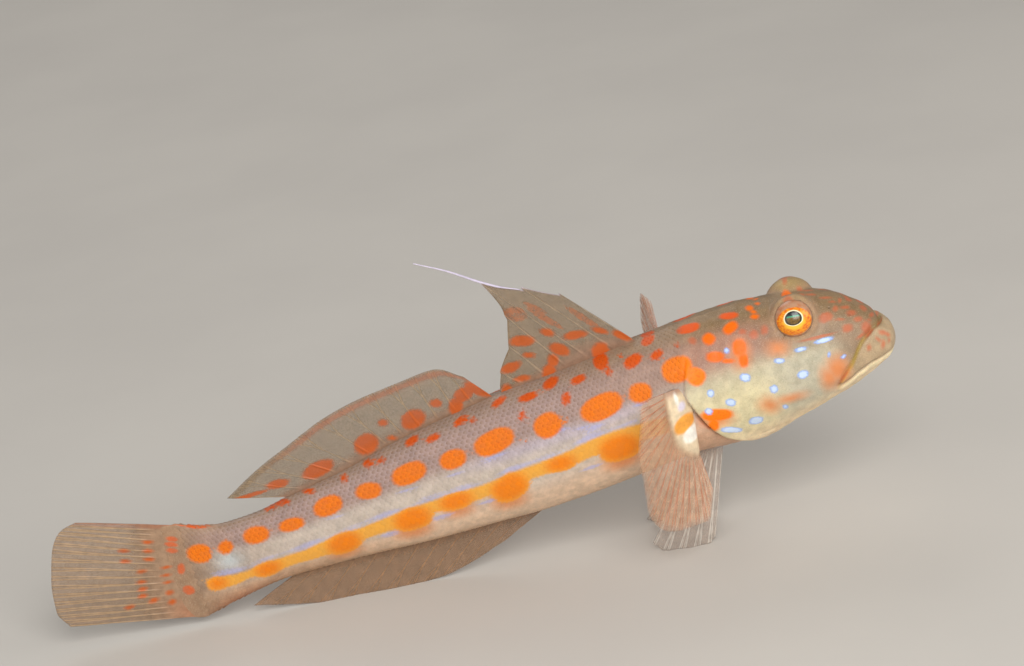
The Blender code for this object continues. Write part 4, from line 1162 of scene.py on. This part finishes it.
def fin(rays, root, tip, paint, rows=48, fork=RAY_FORK, sink=1.3, lobe=0.0, wave=0.12, thick=1.0, plain=0.0):
    """Points, faces and painted tones of a thin fin with raised rays, from under the skin to its margin.

    The rays rise past the plain share of their length and fork past the fork. The lobe is the fleshy base.
    """
    columns = (rays - 1) * FIN_FINENESS + 1
    u = np.linspace(0.0, 1.0, columns)
    roots, tips = root(u), tip(u)
    start = -sink / np.linalg.norm(tips - roots, axis=1)[:, None]
    t = start + (1.0 - start) * np.linspace(0.0, 1.0, rows)[None, :]
    middle = roots[:, None] + (tips - roots)[:, None] * t[..., None]
    across_u, across_t = np.gradient(middle, axis=0), np.gradient(middle, axis=1)
    normal = np.cross(across_u, across_t)
    normal /= np.linalg.norm(normal, axis=-1)[..., None]
    wide = np.linalg.norm(across_u, axis=-1) * (columns - 1)
    share = u * (rays - 1)
    from_ray = np.abs(share - np.round(share))[:, None] / (rays - 1)
    open_out = np.clip((t - fork) / max(1.0 - fork, 1e-6), 0.0, 1.0)
    spread = RAY_SPREAD / (rays - 1) * ease(open_out) * (fork < 1.0)
    second = np.abs(from_ray - spread * SECOND_FORK_SPREAD) * wide + SECOND_FORK_THINNER
    d = np.minimum(np.abs(from_ray - spread) * wide, np.where(open_out > SECOND_FORK, second, FAR_OFF))
    t01 = np.clip(t, 0.0, 1.0)
    half_ray = (RAY_HALF[0] + (RAY_HALF[1] - RAY_HALF[0]) * t01) * thick
    crown = np.sqrt(np.clip(1.0 - (d / half_ray) ** 2, 0.0, 1.0)) * span(t01, plain - 0.02, plain + 0.12)
    half = (FIN_THICKNESS[0] + (FIN_THICKNESS[1] - FIN_THICKNESS[0]) * t01) / 2
    half = half + (RAY_RISE[0] + (RAY_RISE[1] - RAY_RISE[0]) * t01) * crown * thick
    waves = wave * np.sin(9 * t01 + 23 * u[:, None]) * t01 * (1 - crown)
    middle = middle + normal * waves[..., None]
    if lobe:
        fleshy = 1.0 - ease(t01 / LOBE_LENGTH)
        across = np.array([-1.0, 0.0, 0.0])
        half = half + lobe * fleshy * (1.0 - (2 * u[:, None] - 1) ** 2 / 2)
        sign = np.sign((normal * across).sum(-1))[..., None]
        normal = normal + (sign * across - normal) * fleshy[..., None]
    offset = normal * half[..., None]
    points = np.concatenate([middle + offset, middle - offset]).reshape(-1, 3)
    points[:, 2] = np.maximum(points[:, 2], ABOVE_FLOOR)
    per = columns * rows
    i, j = (grid.ravel() for grid in np.meshgrid(np.arange(columns - 1), np.arange(rows - 1), indexing="ij"))
    a, b, c, e = i * rows + j, (i + 1) * rows + j, (i + 1) * rows + j + 1, i * rows + j + 1
    quads = np.concatenate([np.stack([a, b, c, e], 1), np.stack([e, c, b, a], 1) + per])
    rim = [i * rows for i in range(columns)] + [(columns - 1) * rows + j for j in range(1, rows)]
    rim += [i * rows + rows - 1 for i in range(columns - 2, -1, -1)] + list(range(rows - 2, 0, -1))
    sides = [(k, n, n + per, k + per) for k, n in zip(rim, rim[1:] + rim[:1])]
    faces = [tuple(int(v) for v in quad) for quad in quads] + sides
    marks = paint(points, *(np.tile(v.ravel(), 2) for v in (np.repeat(u, rows), t01, crown)))
    return points, faces, marks


def fin_piece(node, shape, material, extra=None):
    points, faces, marks = shape
    if extra is not None:
        more, more_faces, more_marks = extra
        faces = faces + [tuple(v + len(points) for v in face) for face in more_faces]
        points = np.vstack([points, more])
        marks = {key: np.concatenate([marks[key], more_marks[key]]) for key in marks}
    obj = new_mesh(f"dressed_{node}", points, faces, material, marks)
    face_outwards(obj)
    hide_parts(node)


def tones(count, colour):
    return np.tile(linear(colour), (count, 1))


def painted(tone, solid, ray, spot=None):
    if spot is None:
        spot = np.full(len(tone), OUTSIDE)
    return {"tone": tone, "spot": spot, "solid": solid, "ray": ray}


def paint_first_dorsal(points, u, t, ray):
    near_root = span(t, 0.25, 0.0)
    tone = mix(tones(len(points), OLIVE_FIN), SPINE, ray * 0.6)
    tone = mix(tone, NAPE, near_root * 0.6)
    tone = mix(tone, LAVENDER, span(t, 0.972, 0.99) * span(u, 0.4, 0.32) * 0.6)
    faint = np.minimum(plane_field(points, FIRST_DORSAL_FAINT), FAINT_DEPTH)
    solid = 0.56 + 0.3 * ray + 0.25 * near_root + 0.25 * span(t, 0.965, 0.99)
    return painted(tone, solid, ray, np.maximum(plane_field(points, FIRST_DORSAL_SPOTS), faint))


def paint_second_dorsal(points, u, t, ray):
    tone = mix(tones(len(points), OLIVE_FIN), OLIVE_RAY, ray * 0.7)
    tone = mix(tone, NAPE, span(t, 0.3, 0.0) * 0.5)
    root = on_back(SECOND_DORSAL[0] + np.ptp(SECOND_DORSAL) * u)
    reach = np.linalg.norm(margin(SECOND_DORSAL_MARGIN)(u) - root, axis=1)
    band = MARGIN_BAND / 2 - np.abs((1 - t) * reach - 0.9)
    tone = mix(tone, RUST_FAINT, span(band, -0.4, 0.6) * span(u, 0.9, 0.6) * 0.8)
    solid = 0.45 + 0.3 * ray + 0.3 * span(t, 0.25, 0.0) + 0.2 * span(band, -0.2, 0.5)
    return painted(tone, solid, ray, plane_field(points, SECOND_DORSAL_SPOTS))


def paint_anal(points, u, t, ray):
    tone = mix(tones(len(points), ANAL_FIN), ANAL_RAY, ray * 0.6)
    return painted(tone, 0.52 + 0.2 * ray + 0.2 * span(t, 0.3, 0.0), ray)


def paint_caudal(points, u, t, ray):
    tone = mix(tones(len(points), TAIL_FIN), TAIL_RAY, ray * 0.7)
    tone = mix(tone, TAIL_END, span(t, 0.5, 0.2))
    tone = mix(tone, TAIL_FOOT, span(t, 0.35, 0.0) * span(u, 0.3, 0.05) * 0.7)
    tone = mix(tone, RUST_FAINT, span(u, 0.93, 0.98) * 0.7)
    solid = 0.46 + 0.3 * ray + 0.54 * span(t, 0.5, 0.15)
    return painted(tone, solid, ray, plane_field(points, CAUDAL_DASHES))


def paint_pectoral(points, u, t, ray):
    fleshy = span(t * (1 + 0.35 * u), LOBE_LENGTH * 1.15, LOBE_LENGTH * 0.75)
    tone = mix(tones(len(points), PECTORAL_SKIN), PECTORAL_RAY, ray * span(t, 0.24, 0.36))
    tone = mix(tone, LOBE, fleshy)
    tone = mix(tone, NAPE, span(u, 0.12, 0.02) * fleshy * 0.8)
    for colour, marks, share in LOBE_MARKS:
        tone = mix(tone, colour, span(plane_field(points, marks), -0.2, 0.45) * fleshy * share)
    solid = 0.4 + 0.25 * ray + 0.6 * fleshy - 0.25 * span(t, 0.9, 1.0) - 0.2 * span(u, 0.08, 0.0) * (1 - fleshy)
    return painted(tone, np.clip(solid, 0, 1), ray)


def paint_pelvic(points, u, t, ray):
    tone = mix(tones(len(points), PELVIC_SKIN), LOBE_WHITE, ray * 0.45)
    return painted(tone, 0.4 + 0.35 * ray, ray)


def second_dorsal_root(u):
    return on_back(SECOND_DORSAL[0] + (SECOND_DORSAL[1] - SECOND_DORSAL[0]) * u)


def anal_root(u):
    return on_belly(ANAL[0] + (ANAL[1] - ANAL[0]) * u)


def caudal_root(u):
    heights = CAUDAL_BASE[0] + (CAUDAL_BASE[1] - CAUDAL_BASE[0]) * u
    return from_axis(np.full_like(u, BODY_LENGTH + GAP), 0.0 * u, heights)


def pectoral_root(side, u):
    heights = PECTORAL_ROOT[0] + (PECTORAL_ROOT[1] - PECTORAL_ROOT[0]) * u
    root = side_of_body(PECTORAL_PLACE, heights) * np.array([1.0, side, 1.0])
    return root + np.array([0.0, -side * PECTORAL_OUT, 0.0])


def filament():
    """The thread that the longest spine ends in."""
    u = np.linspace(0.0, 1.0, 40)
    radii = FILAMENT_TIP + (FILAMENT_RADIUS - FILAMENT_TIP) * ease(u / 0.4) * (1.0 - ease((u - 0.5) / 0.5))
    points, faces = tube(in_plane(*along(FILAMENT, u).T), radii)
    one = np.ones(len(points))
    return points, faces, painted(tones(len(points), LAVENDER), one, one)


def make_fins(material):
    shape = fin(len(SPINE_ROOTS), first_dorsal_root, first_dorsal_tip, paint_first_dorsal, fork=1.0,
                thick=SPINE_THICK, wave=0.2)
    fin_piece("first_dorsal_fin", shape, material, filament())
    shape = fin(SECOND_DORSAL_RAYS, second_dorsal_root, margin(SECOND_DORSAL_MARGIN), paint_second_dorsal)
    fin_piece("second_dorsal_fin", shape, material)
    fin_piece("anal_fin", fin(ANAL_RAYS, anal_root, margin(ANAL_MARGIN), paint_anal), material)
    shape = fin(CAUDAL_RAYS, caudal_root, margin(CAUDAL_MARGIN), paint_caudal, fork=0.35, sink=0.8, rows=64,
                plain=0.2)
    fin_piece("caudal_fin", shape, material)
    for name, side, tips in (("right", 1, PECTORAL_RIGHT), ("left", -1, PECTORAL_LEFT)):
        shape = fin(PECTORAL_RAYS, partial(pectoral_root, side), partial(along, tips), paint_pectoral, rows=64,
                    lobe=PECTORAL_LOBE, sink=0.9, thick=0.65, plain=0.26)
        fin_piece(f"pectoral_fin_{name}", shape, material)
        tips = [(x, -side * y, z) for x, y, z in PELVIC_TIPS]
        shape = fin(PELVIC_RAYS, partial(pelvic_root, side), partial(along, tips), paint_pelvic, sink=1.6)
        fin_piece(f"pelvic_fin_{name}", shape, material)


# Eyes

IRIS_DROP = 0.45
EYE_COLUMNS = 128
CORNEA = (0.1, 38)
IRIS_RIM = (0.05, 66, 5)


def make_eyes(material):
    theta = np.radians(np.concatenate([np.linspace(1.0, 78.0, 70), np.linspace(82.0, 176.0, 18)]))
    phi = np.arange(EYE_COLUMNS) * 2 * math.pi / EYE_COLUMNS
    tt, pp = (grid.ravel() for grid in np.meshgrid(theta, phi, indexing="ij"))
    degrees = np.degrees(tt)
    deep, place, width = IRIS_RIM
    radius = EYE_RADIUS + CORNEA[0] * bell(degrees, CORNEA[1]) - deep * bell(degrees - place, width)
    for name, side in (("eye_right", 1), ("eye_left", -1)):
        centre, look, _ = eye_frame(side)
        ahead = np.array([1.0, 0.0, 0.0]) - look * look[0]
        ahead /= np.linalg.norm(ahead)
        up = np.cross(look, ahead)
        up = up * np.sign(up[2])
        beside = ahead * np.cos(pp)[:, None] + up * np.sin(pp)[:, None]
        way = look * np.cos(tt)[:, None] + beside * np.sin(tt)[:, None]
        points = centre + way * radius[:, None]
        faces = ring_faces(len(theta), EYE_COLUMNS)
        front, back, last = len(points), len(points) + 1, len(points) - EYE_COLUMNS
        faces += [(front, (j + 1) % EYE_COLUMNS, j) for j in range(EYE_COLUMNS)]
        faces += [(back, last + j, last + (j + 1) % EYE_COLUMNS) for j in range(EYE_COLUMNS)]
        points = np.vstack([points, centre + look * radius[0], centre - look * EYE_RADIUS])
        away = points - centre
        fore = np.where(away @ look < 0, FAR_OFF, away @ ahead)
        obj = new_mesh(f"dressed_{name}", points, faces, material, {"fore": fore, "rise": away @ up})
        face_outwards(obj)
        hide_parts(name)


# Materials


class Surface:
    """A node material, built up from small steps."""

    def __init__(self, name):
        self.material = bpy.data.materials.new(name)
        self.material.use_nodes = True
        self.nodes = self.material.node_tree.nodes
        self.links = self.material.node_tree.links
        self.shader = self.nodes["Principled BSDF"]

    def node(self, kind, inputs=(), **settings):
        node = self.nodes.new(kind)
        for key, value in settings.items():
            setattr(node, key, value)
        for key, value in dict(inputs).items():
            self.put(node.inputs[key], value)
        return node

    def put(self, socket, value):
        if isinstance(value, bpy.types.NodeSocket):
            self.links.new(value, socket)
        else:
            socket.default_value = value

    def attribute(self, name):
        node = self.node("ShaderNodeAttribute", attribute_name=name)
        return node.outputs["Color"] if name == "tone" else node.outputs["Fac"]

    def math(self, operation, *values, clamp=False):
        node = self.node("ShaderNodeMath", operation=operation, use_clamp=clamp)
        for socket, value in zip(node.inputs, values):
            self.put(socket, value)
        return node.outputs[0]

    def plus(self, a, b, clamp=False):
        return self.math("ADD", a, b, clamp=clamp)

    def minus(self, a, b):
        return self.math("SUBTRACT", a, b)

    def times(self, a, b, clamp=False):
        return self.math("MULTIPLY", a, b, clamp=clamp)

    def centred(self, noise, share):
        """Noise spread evenly round 0."""
        return self.times(self.minus(noise, 0.5), share)

    def scaled(self, value, low, high, to_low=0.0, to_high=1.0, soft=True):
        node = self.node("ShaderNodeMapRange", interpolation_type="SMOOTHSTEP" if soft else "LINEAR")
        names = ("Value", "From Min", "From Max", "To Min", "To Max")
        for key, number in zip(names, (value, low, high, to_low, to_high)):
            self.put(node.inputs[key], number)
        return node.outputs["Result"]

    def noise(self, size, detail=2.0, stretch=None):
        """Noise from 0 to 1 with blobs of about the given size in millimetres."""
        place = self.node("ShaderNodeTexCoord").outputs["Object"]
        if stretch:
            place = self.node("ShaderNodeMapping", {"Vector": place, "Scale": stretch}).outputs["Vector"]
        settings = {"Vector": place, "Scale": 1.0 / (size * MM), "Detail": detail}
        return self.node("ShaderNodeTexNoise", settings).outputs["Fac"]

    def grey(self, noise, low, high):
        """A grey that follows the noise, to multiply a colour with."""
        shade = self.scaled(noise, 0.25, 0.75, low, high)
        return self.node("ShaderNodeCombineColor", {"Red": shade, "Green": shade, "Blue": shade}).outputs[0]

    def blend(self, share, below, above, kind="MIX"):
        node = self.node("ShaderNodeMix", data_type="RGBA", blend_type=kind)
        self.put(node.inputs[0], share)
        for socket, value in ((node.inputs[6], below), (node.inputs[7], above)):
            self.put(socket, value if isinstance(value, bpy.types.NodeSocket) else (*linear(value), 1.0))
        return node.outputs[2]

    def bump(self, height, distance, strength):
        settings = {"Height": height, "Distance": distance * MM, "Strength": strength}
        self.put(self.shader.inputs["Normal"], self.node("ShaderNodeBump", settings).outputs["Normal"])

    def fix(self, values):
        """Sets what is the same all over on the shader's own sockets."""
        for key, value in values.items():
            self.shader.inputs[key].default_value = value


SPOT_ORANGE = (248, 124, 0)
SPOT_DEEP = (228, 88, 0)
BACK_RED = (222, 84, 2)
STRIPE_LIGHT = (246, 172, 70)
STRIPE_DEEP = (250, 134, 20)
LILAC = (178, 176, 220)
BLUE_PALE = (204, 222, 248)
BLUE_DEEP = (128, 168, 238)
FACE_ORANGE = (200, 100, 62)
BLUSH = (228, 136, 74)
CREASE_SHADE_COLOUR = (104, 80, 54)
TICK_DARK = (58, 42, 40)
SCALE_PALE = (206, 190, 206)
STIPPLE_DARK = (110, 84, 66)
STIPPLE_PALE = (232, 214, 186)
TICK_RUST = (138, 36, 2)
SCALE_DULL = (120, 100, 92)


def skin_material(name, scales):
    paint = Surface(name)
    fine, coarse = paint.noise(0.34, 3.0), paint.noise(1.6, 3.0)
    both = paint.plus(paint.centred(fine, 0.5), paint.centred(coarse, 0.32))

    def field(key):
        return paint.plus(paint.attribute(key), both)

    colour = paint.attribute("tone")
    colour = paint.blend(1.0, colour, paint.grey(coarse, 0.86, 1.1), "MULTIPLY")
    dots = paint.noise(0.15, 1.0)
    share = 0.12 if scales else 0.22
    colour = paint.blend(paint.scaled(dots, 0.56, 0.68, 0.0, share), colour, STIPPLE_DARK)
    colour = paint.blend(paint.scaled(dots, 0.42, 0.3, 0.0, share), colour, STIPPLE_PALE)
    colour = paint.blend(paint.scaled(field("blush"), -1.5, 2.0, 0.0, 0.85), colour, BLUSH)
    colour = paint.blend(paint.scaled(field("lilac"), -0.35, 0.4, 0.0, 0.62), colour, LILAC)
    stripe = field("stripe")
    orange = paint.blend(paint.scaled(field("blob"), -0.9, 1.5), STRIPE_LIGHT, STRIPE_DEEP)
    colour = paint.blend(paint.scaled(stripe, -0.32, 0.36), colour, orange)
    spot = paint.attribute("spot")
    spot = paint.plus(spot, paint.times(both, 0.6))
    deep = paint.blend(paint.attribute("red"), SPOT_ORANGE, BACK_RED)
    deep = paint.blend(paint.scaled(paint.noise(0.28, 2.0), 0.52, 0.7, 0.0, 0.5), deep, SPOT_DEEP)
    colour = paint.blend(paint.scaled(spot, -0.4, 0.36, 0.0, 0.97), colour, deep)
    colour = paint.blend(paint.scaled(field("face"), -0.42, 0.4, 0.0, 0.66), colour, FACE_ORANGE)
    blue = field("blue")
    pale = paint.blend(paint.scaled(blue, 0.0, 0.4), BLUE_DEEP, BLUE_PALE)
    colour = paint.blend(paint.scaled(blue, -0.2, 0.22, 0.0, 0.92), colour, pale)
    # painted shade in the grooves, behind the gill opening, in the nostrils and round each orbit
    colour = paint.blend(paint.times(paint.attribute("crease"), 0.72), colour, CREASE_SHADE_COLOUR)
    if scales:
        colour = scale_pattern(paint, colour, spot)
    paint.put(paint.shader.inputs["Base Color"], colour)
    paint.put(paint.shader.inputs["Roughness"], paint.scaled(fine, 0.2, 0.8, 0.34, 0.52))
    paint.fix({"Specular IOR Level": 0.2, "Coat Weight": 0.05, "Coat Roughness": 0.22, "Subsurface Weight": 0.12,
               "Subsurface Radius": (1.0, 0.5, 0.3), "Subsurface Scale": 0.0012})
    height = paint.times(fine, 0.6)
    paint.bump(paint.plus(height, paint.times(paint.noise(0.12, 2.0), 0.4)), 0.09, 0.5)
    return paint.material


def scale_pattern(paint, colour, spot):
    """A dark tick at each scale's edge, rusty in the spots, and a paler middle."""
    net = paint.attribute("net")
    in_spot = paint.scaled(spot, -0.2, 0.2)
    shown = paint.math("MAXIMUM", net, paint.times(in_spot, 0.85))
    tick_colour = paint.blend(in_spot, TICK_DARK, TICK_RUST)
    tick = paint.times(paint.attribute("tick"), shown)
    edge = paint.times(paint.times(paint.attribute("edge"), net), 0.2)
    colour = paint.blend(paint.math("MAXIMUM", paint.times(tick, 1.3, clamp=True), edge), colour, tick_colour)
    middle = paint.times(paint.minus(1.0, paint.attribute("edge")), net)
    middle = paint.times(middle, paint.scaled(spot, 0.1, -0.4))
    colour = paint.blend(paint.times(middle, 0.24), colour, SCALE_PALE)
    dull = paint.scaled(paint.attribute("shade"), -1.0, 1.0, 0.0, 0.09, soft=False)
    return paint.blend(dull, colour, SCALE_DULL)


def fin_material():
    paint = Surface("fin_membrane")
    fine, coarse = paint.noise(0.3, 3.0), paint.noise(1.3, 3.0)
    grain = paint.plus(paint.centred(fine, 0.5), paint.centred(coarse, 0.5))
    spot = paint.scaled(paint.plus(paint.attribute("spot"), grain), -0.4, 0.5)
    grey = paint.grey(coarse, 0.84, 1.12)
    colour = paint.blend(1.0, paint.attribute("tone"), grey, "MULTIPLY")
    paint.put(paint.shader.inputs["Base Color"], paint.blend(paint.times(spot, 0.9), colour, RUST))
    solid = paint.plus(paint.attribute("solid"), paint.times(spot, 0.3))
    paint.put(paint.shader.inputs["Alpha"], paint.plus(solid, paint.centred(fine, 0.3), clamp=True))
    paint.put(paint.shader.inputs["Roughness"], paint.scaled(fine, 0.2, 0.8, 0.3, 0.5))
    paint.fix({"Specular IOR Level": 0.4})
    paint.bump(fine, 0.05, 0.4)
    return paint.material


CRESCENT = (186, 140, 108)
CRESCENT_WARM = (184, 116, 74)
CRESCENT_TOP = (166, 104, 62)
IRIS_GOLD = (246, 158, 20)
IRIS_ORANGE = (226, 104, 4)
IRIS_YELLOW = (252, 196, 56)
PUPIL_RING = (250, 238, 196)
PUPIL_BROWN_REFLECTION = (84, 64, 24)
PUPIL_AMBER_REFLECTION = (124, 92, 34)
PUPIL_GREEN_REFLECTION = (60, 150, 112)
PUPIL_TOP = (14, 24, 24)
PUPIL_EDGE = (12, 14, 14)
EYE_RIM = (70, 62, 56)


def eye_material():
    paint = Surface("eye")
    x, y = paint.attribute("fore"), paint.attribute("rise")
    fine = paint.noise(0.2, 3.0)
    wobble = paint.centred(fine, 0.22)

    def distance(across, above, rise):
        a = paint.math("DIVIDE", x, across)
        b = paint.math("DIVIDE", paint.minus(y, rise), above)
        return paint.math("SQRT", paint.plus(paint.times(a, a), paint.times(b, b)))

    low = paint.scaled(y, -1.3, -0.5, 0.86, 1.0)
    pupil = paint.math("DIVIDE", distance(1.04, 0.92, 0.0), low)
    iris = paint.plus(distance(1.0, 0.8, -IRIS_DROP), wobble)
    outer = paint.plus(distance(1.0, 1.0, 0.0), paint.times(wobble, 0.5))
    crescent = paint.blend(paint.scaled(paint.noise(0.8, 3.0), 0.4, 0.65), CRESCENT, CRESCENT_WARM)
    crescent = paint.blend(paint.scaled(y, 2.3, 3.1, 0.0, 0.7), crescent, CRESCENT_TOP)
    streak = paint.scaled(paint.noise(0.5, 3.0, stretch=(1.0, 1.0, 2.0)), 0.4, 0.62)
    orange = paint.blend(streak, IRIS_GOLD, IRIS_ORANGE)
    orange = paint.blend(paint.scaled(iris, 1.45, 2.15), IRIS_YELLOW, orange)
    colour = paint.blend(paint.scaled(iris, 2.82, 3.02), orange, crescent)
    colour = paint.blend(paint.scaled(pupil, 1.52, 1.64), PUPIL_RING, colour)
    # painted reflection of the lens in the pupil: brown and amber, with a green arc, under a dark top and edge
    inside = paint.blend(paint.scaled(fine, 0.35, 0.65), PUPIL_BROWN_REFLECTION, PUPIL_AMBER_REFLECTION)
    inside = paint.blend(paint.scaled(y, 0.15, 0.38), inside, PUPIL_GREEN_REFLECTION)
    inside = paint.blend(paint.scaled(y, 0.42, 0.6), inside, PUPIL_TOP)
    inside = paint.blend(paint.scaled(pupil, 1.0, 1.25), inside, PUPIL_EDGE)
    colour = paint.blend(paint.scaled(pupil, 1.32, 1.46), inside, colour)
    colour = paint.blend(paint.scaled(outer, 3.05, 3.2), colour, EYE_RIM)
    paint.put(paint.shader.inputs["Base Color"], colour)
    paint.fix({"Roughness": 0.28, "Coat Weight": 0.45, "Coat Roughness": 0.14})
    return paint.material


# Floor, light and camera

FLOOR_SIDE = 4.0
FLOOR_PALE = (200, 194, 185)
FLOOR_GREY = (191, 185, 177)
CAMERA_TARGET = (11.51, 0.0, 43.17)
CAMERA_DISTANCE = 509.0
CAMERA_ELEVATION = 22.0
CAMERA_ROLL = 11.0
CAMERA_LENS = 105.03
LIGHTS = (
    ("key", (140, -560, 460), 480, 4.6),
    ("fill", (-520, -420, 300), 620, 1.2),
    ("rim", (-120, 520, 480), 420, 0.8),
    ("front", (620, -160, 260), 420, 0.9),
)
LIGHT_AIM = (10.0, 0.0, 22.0)
WORLD_GREY = 0.28


def make_floor():
    paint = Surface("floor")
    colour = paint.blend(paint.scaled(paint.noise(60.0, 4.0), 0.3, 0.7, 0.0, 0.5), FLOOR_PALE, FLOOR_GREY)
    paint.put(paint.shader.inputs["Base Color"], colour)
    paint.fix({"Roughness": 0.75})
    half = FLOOR_SIDE / 2
    mesh = bpy.data.meshes.new("floor")
    corners = [(-half, -half, 0), (half, -half, 0), (half, half, 0), (-half, half, 0)]
    mesh.from_pydata(corners, [], [(0, 1, 2, 3)])
    mesh.materials.append(paint.material)
    floor = bpy.data.objects.new("floor", mesh)
    bpy.context.scene.collection.objects.link(floor)


def make_lights():
    for name, place, size, watts in LIGHTS:
        light = bpy.data.lights.new(name, "AREA")
        light.size = size * MM
        light.energy = watts
        obj = bpy.data.objects.new(name, light)
        obj.location = Vector(place) * MM
        obj.rotation_euler = (Vector(LIGHT_AIM) - Vector(place)).to_track_quat("-Z", "Y").to_euler()
        bpy.context.scene.collection.objects.link(obj)
    world = bpy.data.worlds.new("studio")
    world.use_nodes = True
    background = world.node_tree.nodes["Background"]
    background.inputs["Color"].default_value = (WORLD_GREY, WORLD_GREY, WORLD_GREY, 1.0)
    bpy.context.scene.world = world
    bpy.context.scene.view_settings.view_transform = "Standard"


def make_camera():
    elevation, roll = math.radians(CAMERA_ELEVATION), math.radians(CAMERA_ROLL)
    forward = Vector((0.0, math.cos(elevation), -math.sin(elevation)))
    right = Vector((1.0, 0.0, 0.0))
    up = right.cross(forward)
    across = right * math.cos(roll) - up * math.sin(roll)
    above = up * math.cos(roll) + right * math.sin(roll)
    camera = bpy.data.cameras.new("camera")
    camera.lens = CAMERA_LENS
    camera.clip_start = 0.01
    obj = bpy.data.objects.new("camera", camera)
    place = Vector(CAMERA_TARGET) * MM - forward * CAMERA_DISTANCE * MM
    obj.matrix_world = Matrix.Translation(place) @ Matrix((across, above, -forward)).transposed().to_4x4()
    bpy.context.scene.collection.objects.link(obj)
    bpy.context.scene.camera = obj


skin_look = skin_material("skin", False)
scale_look = skin_material("scales", True)
make_skin(skin_look)
for side_name, side, seed in (("right", 1, 11), ("left", -1, 12)):
    make_scales(f"scales_upper_{side_name}", side, 0.0, SCALE_SPLIT, scale_look, seed)
    make_scales(f"scales_lower_{side_name}", side, SCALE_SPLIT, math.pi, scale_look, seed)
make_fins(fin_material())
make_eyes(eye_material())
make_floor()
make_lights()
make_camera()
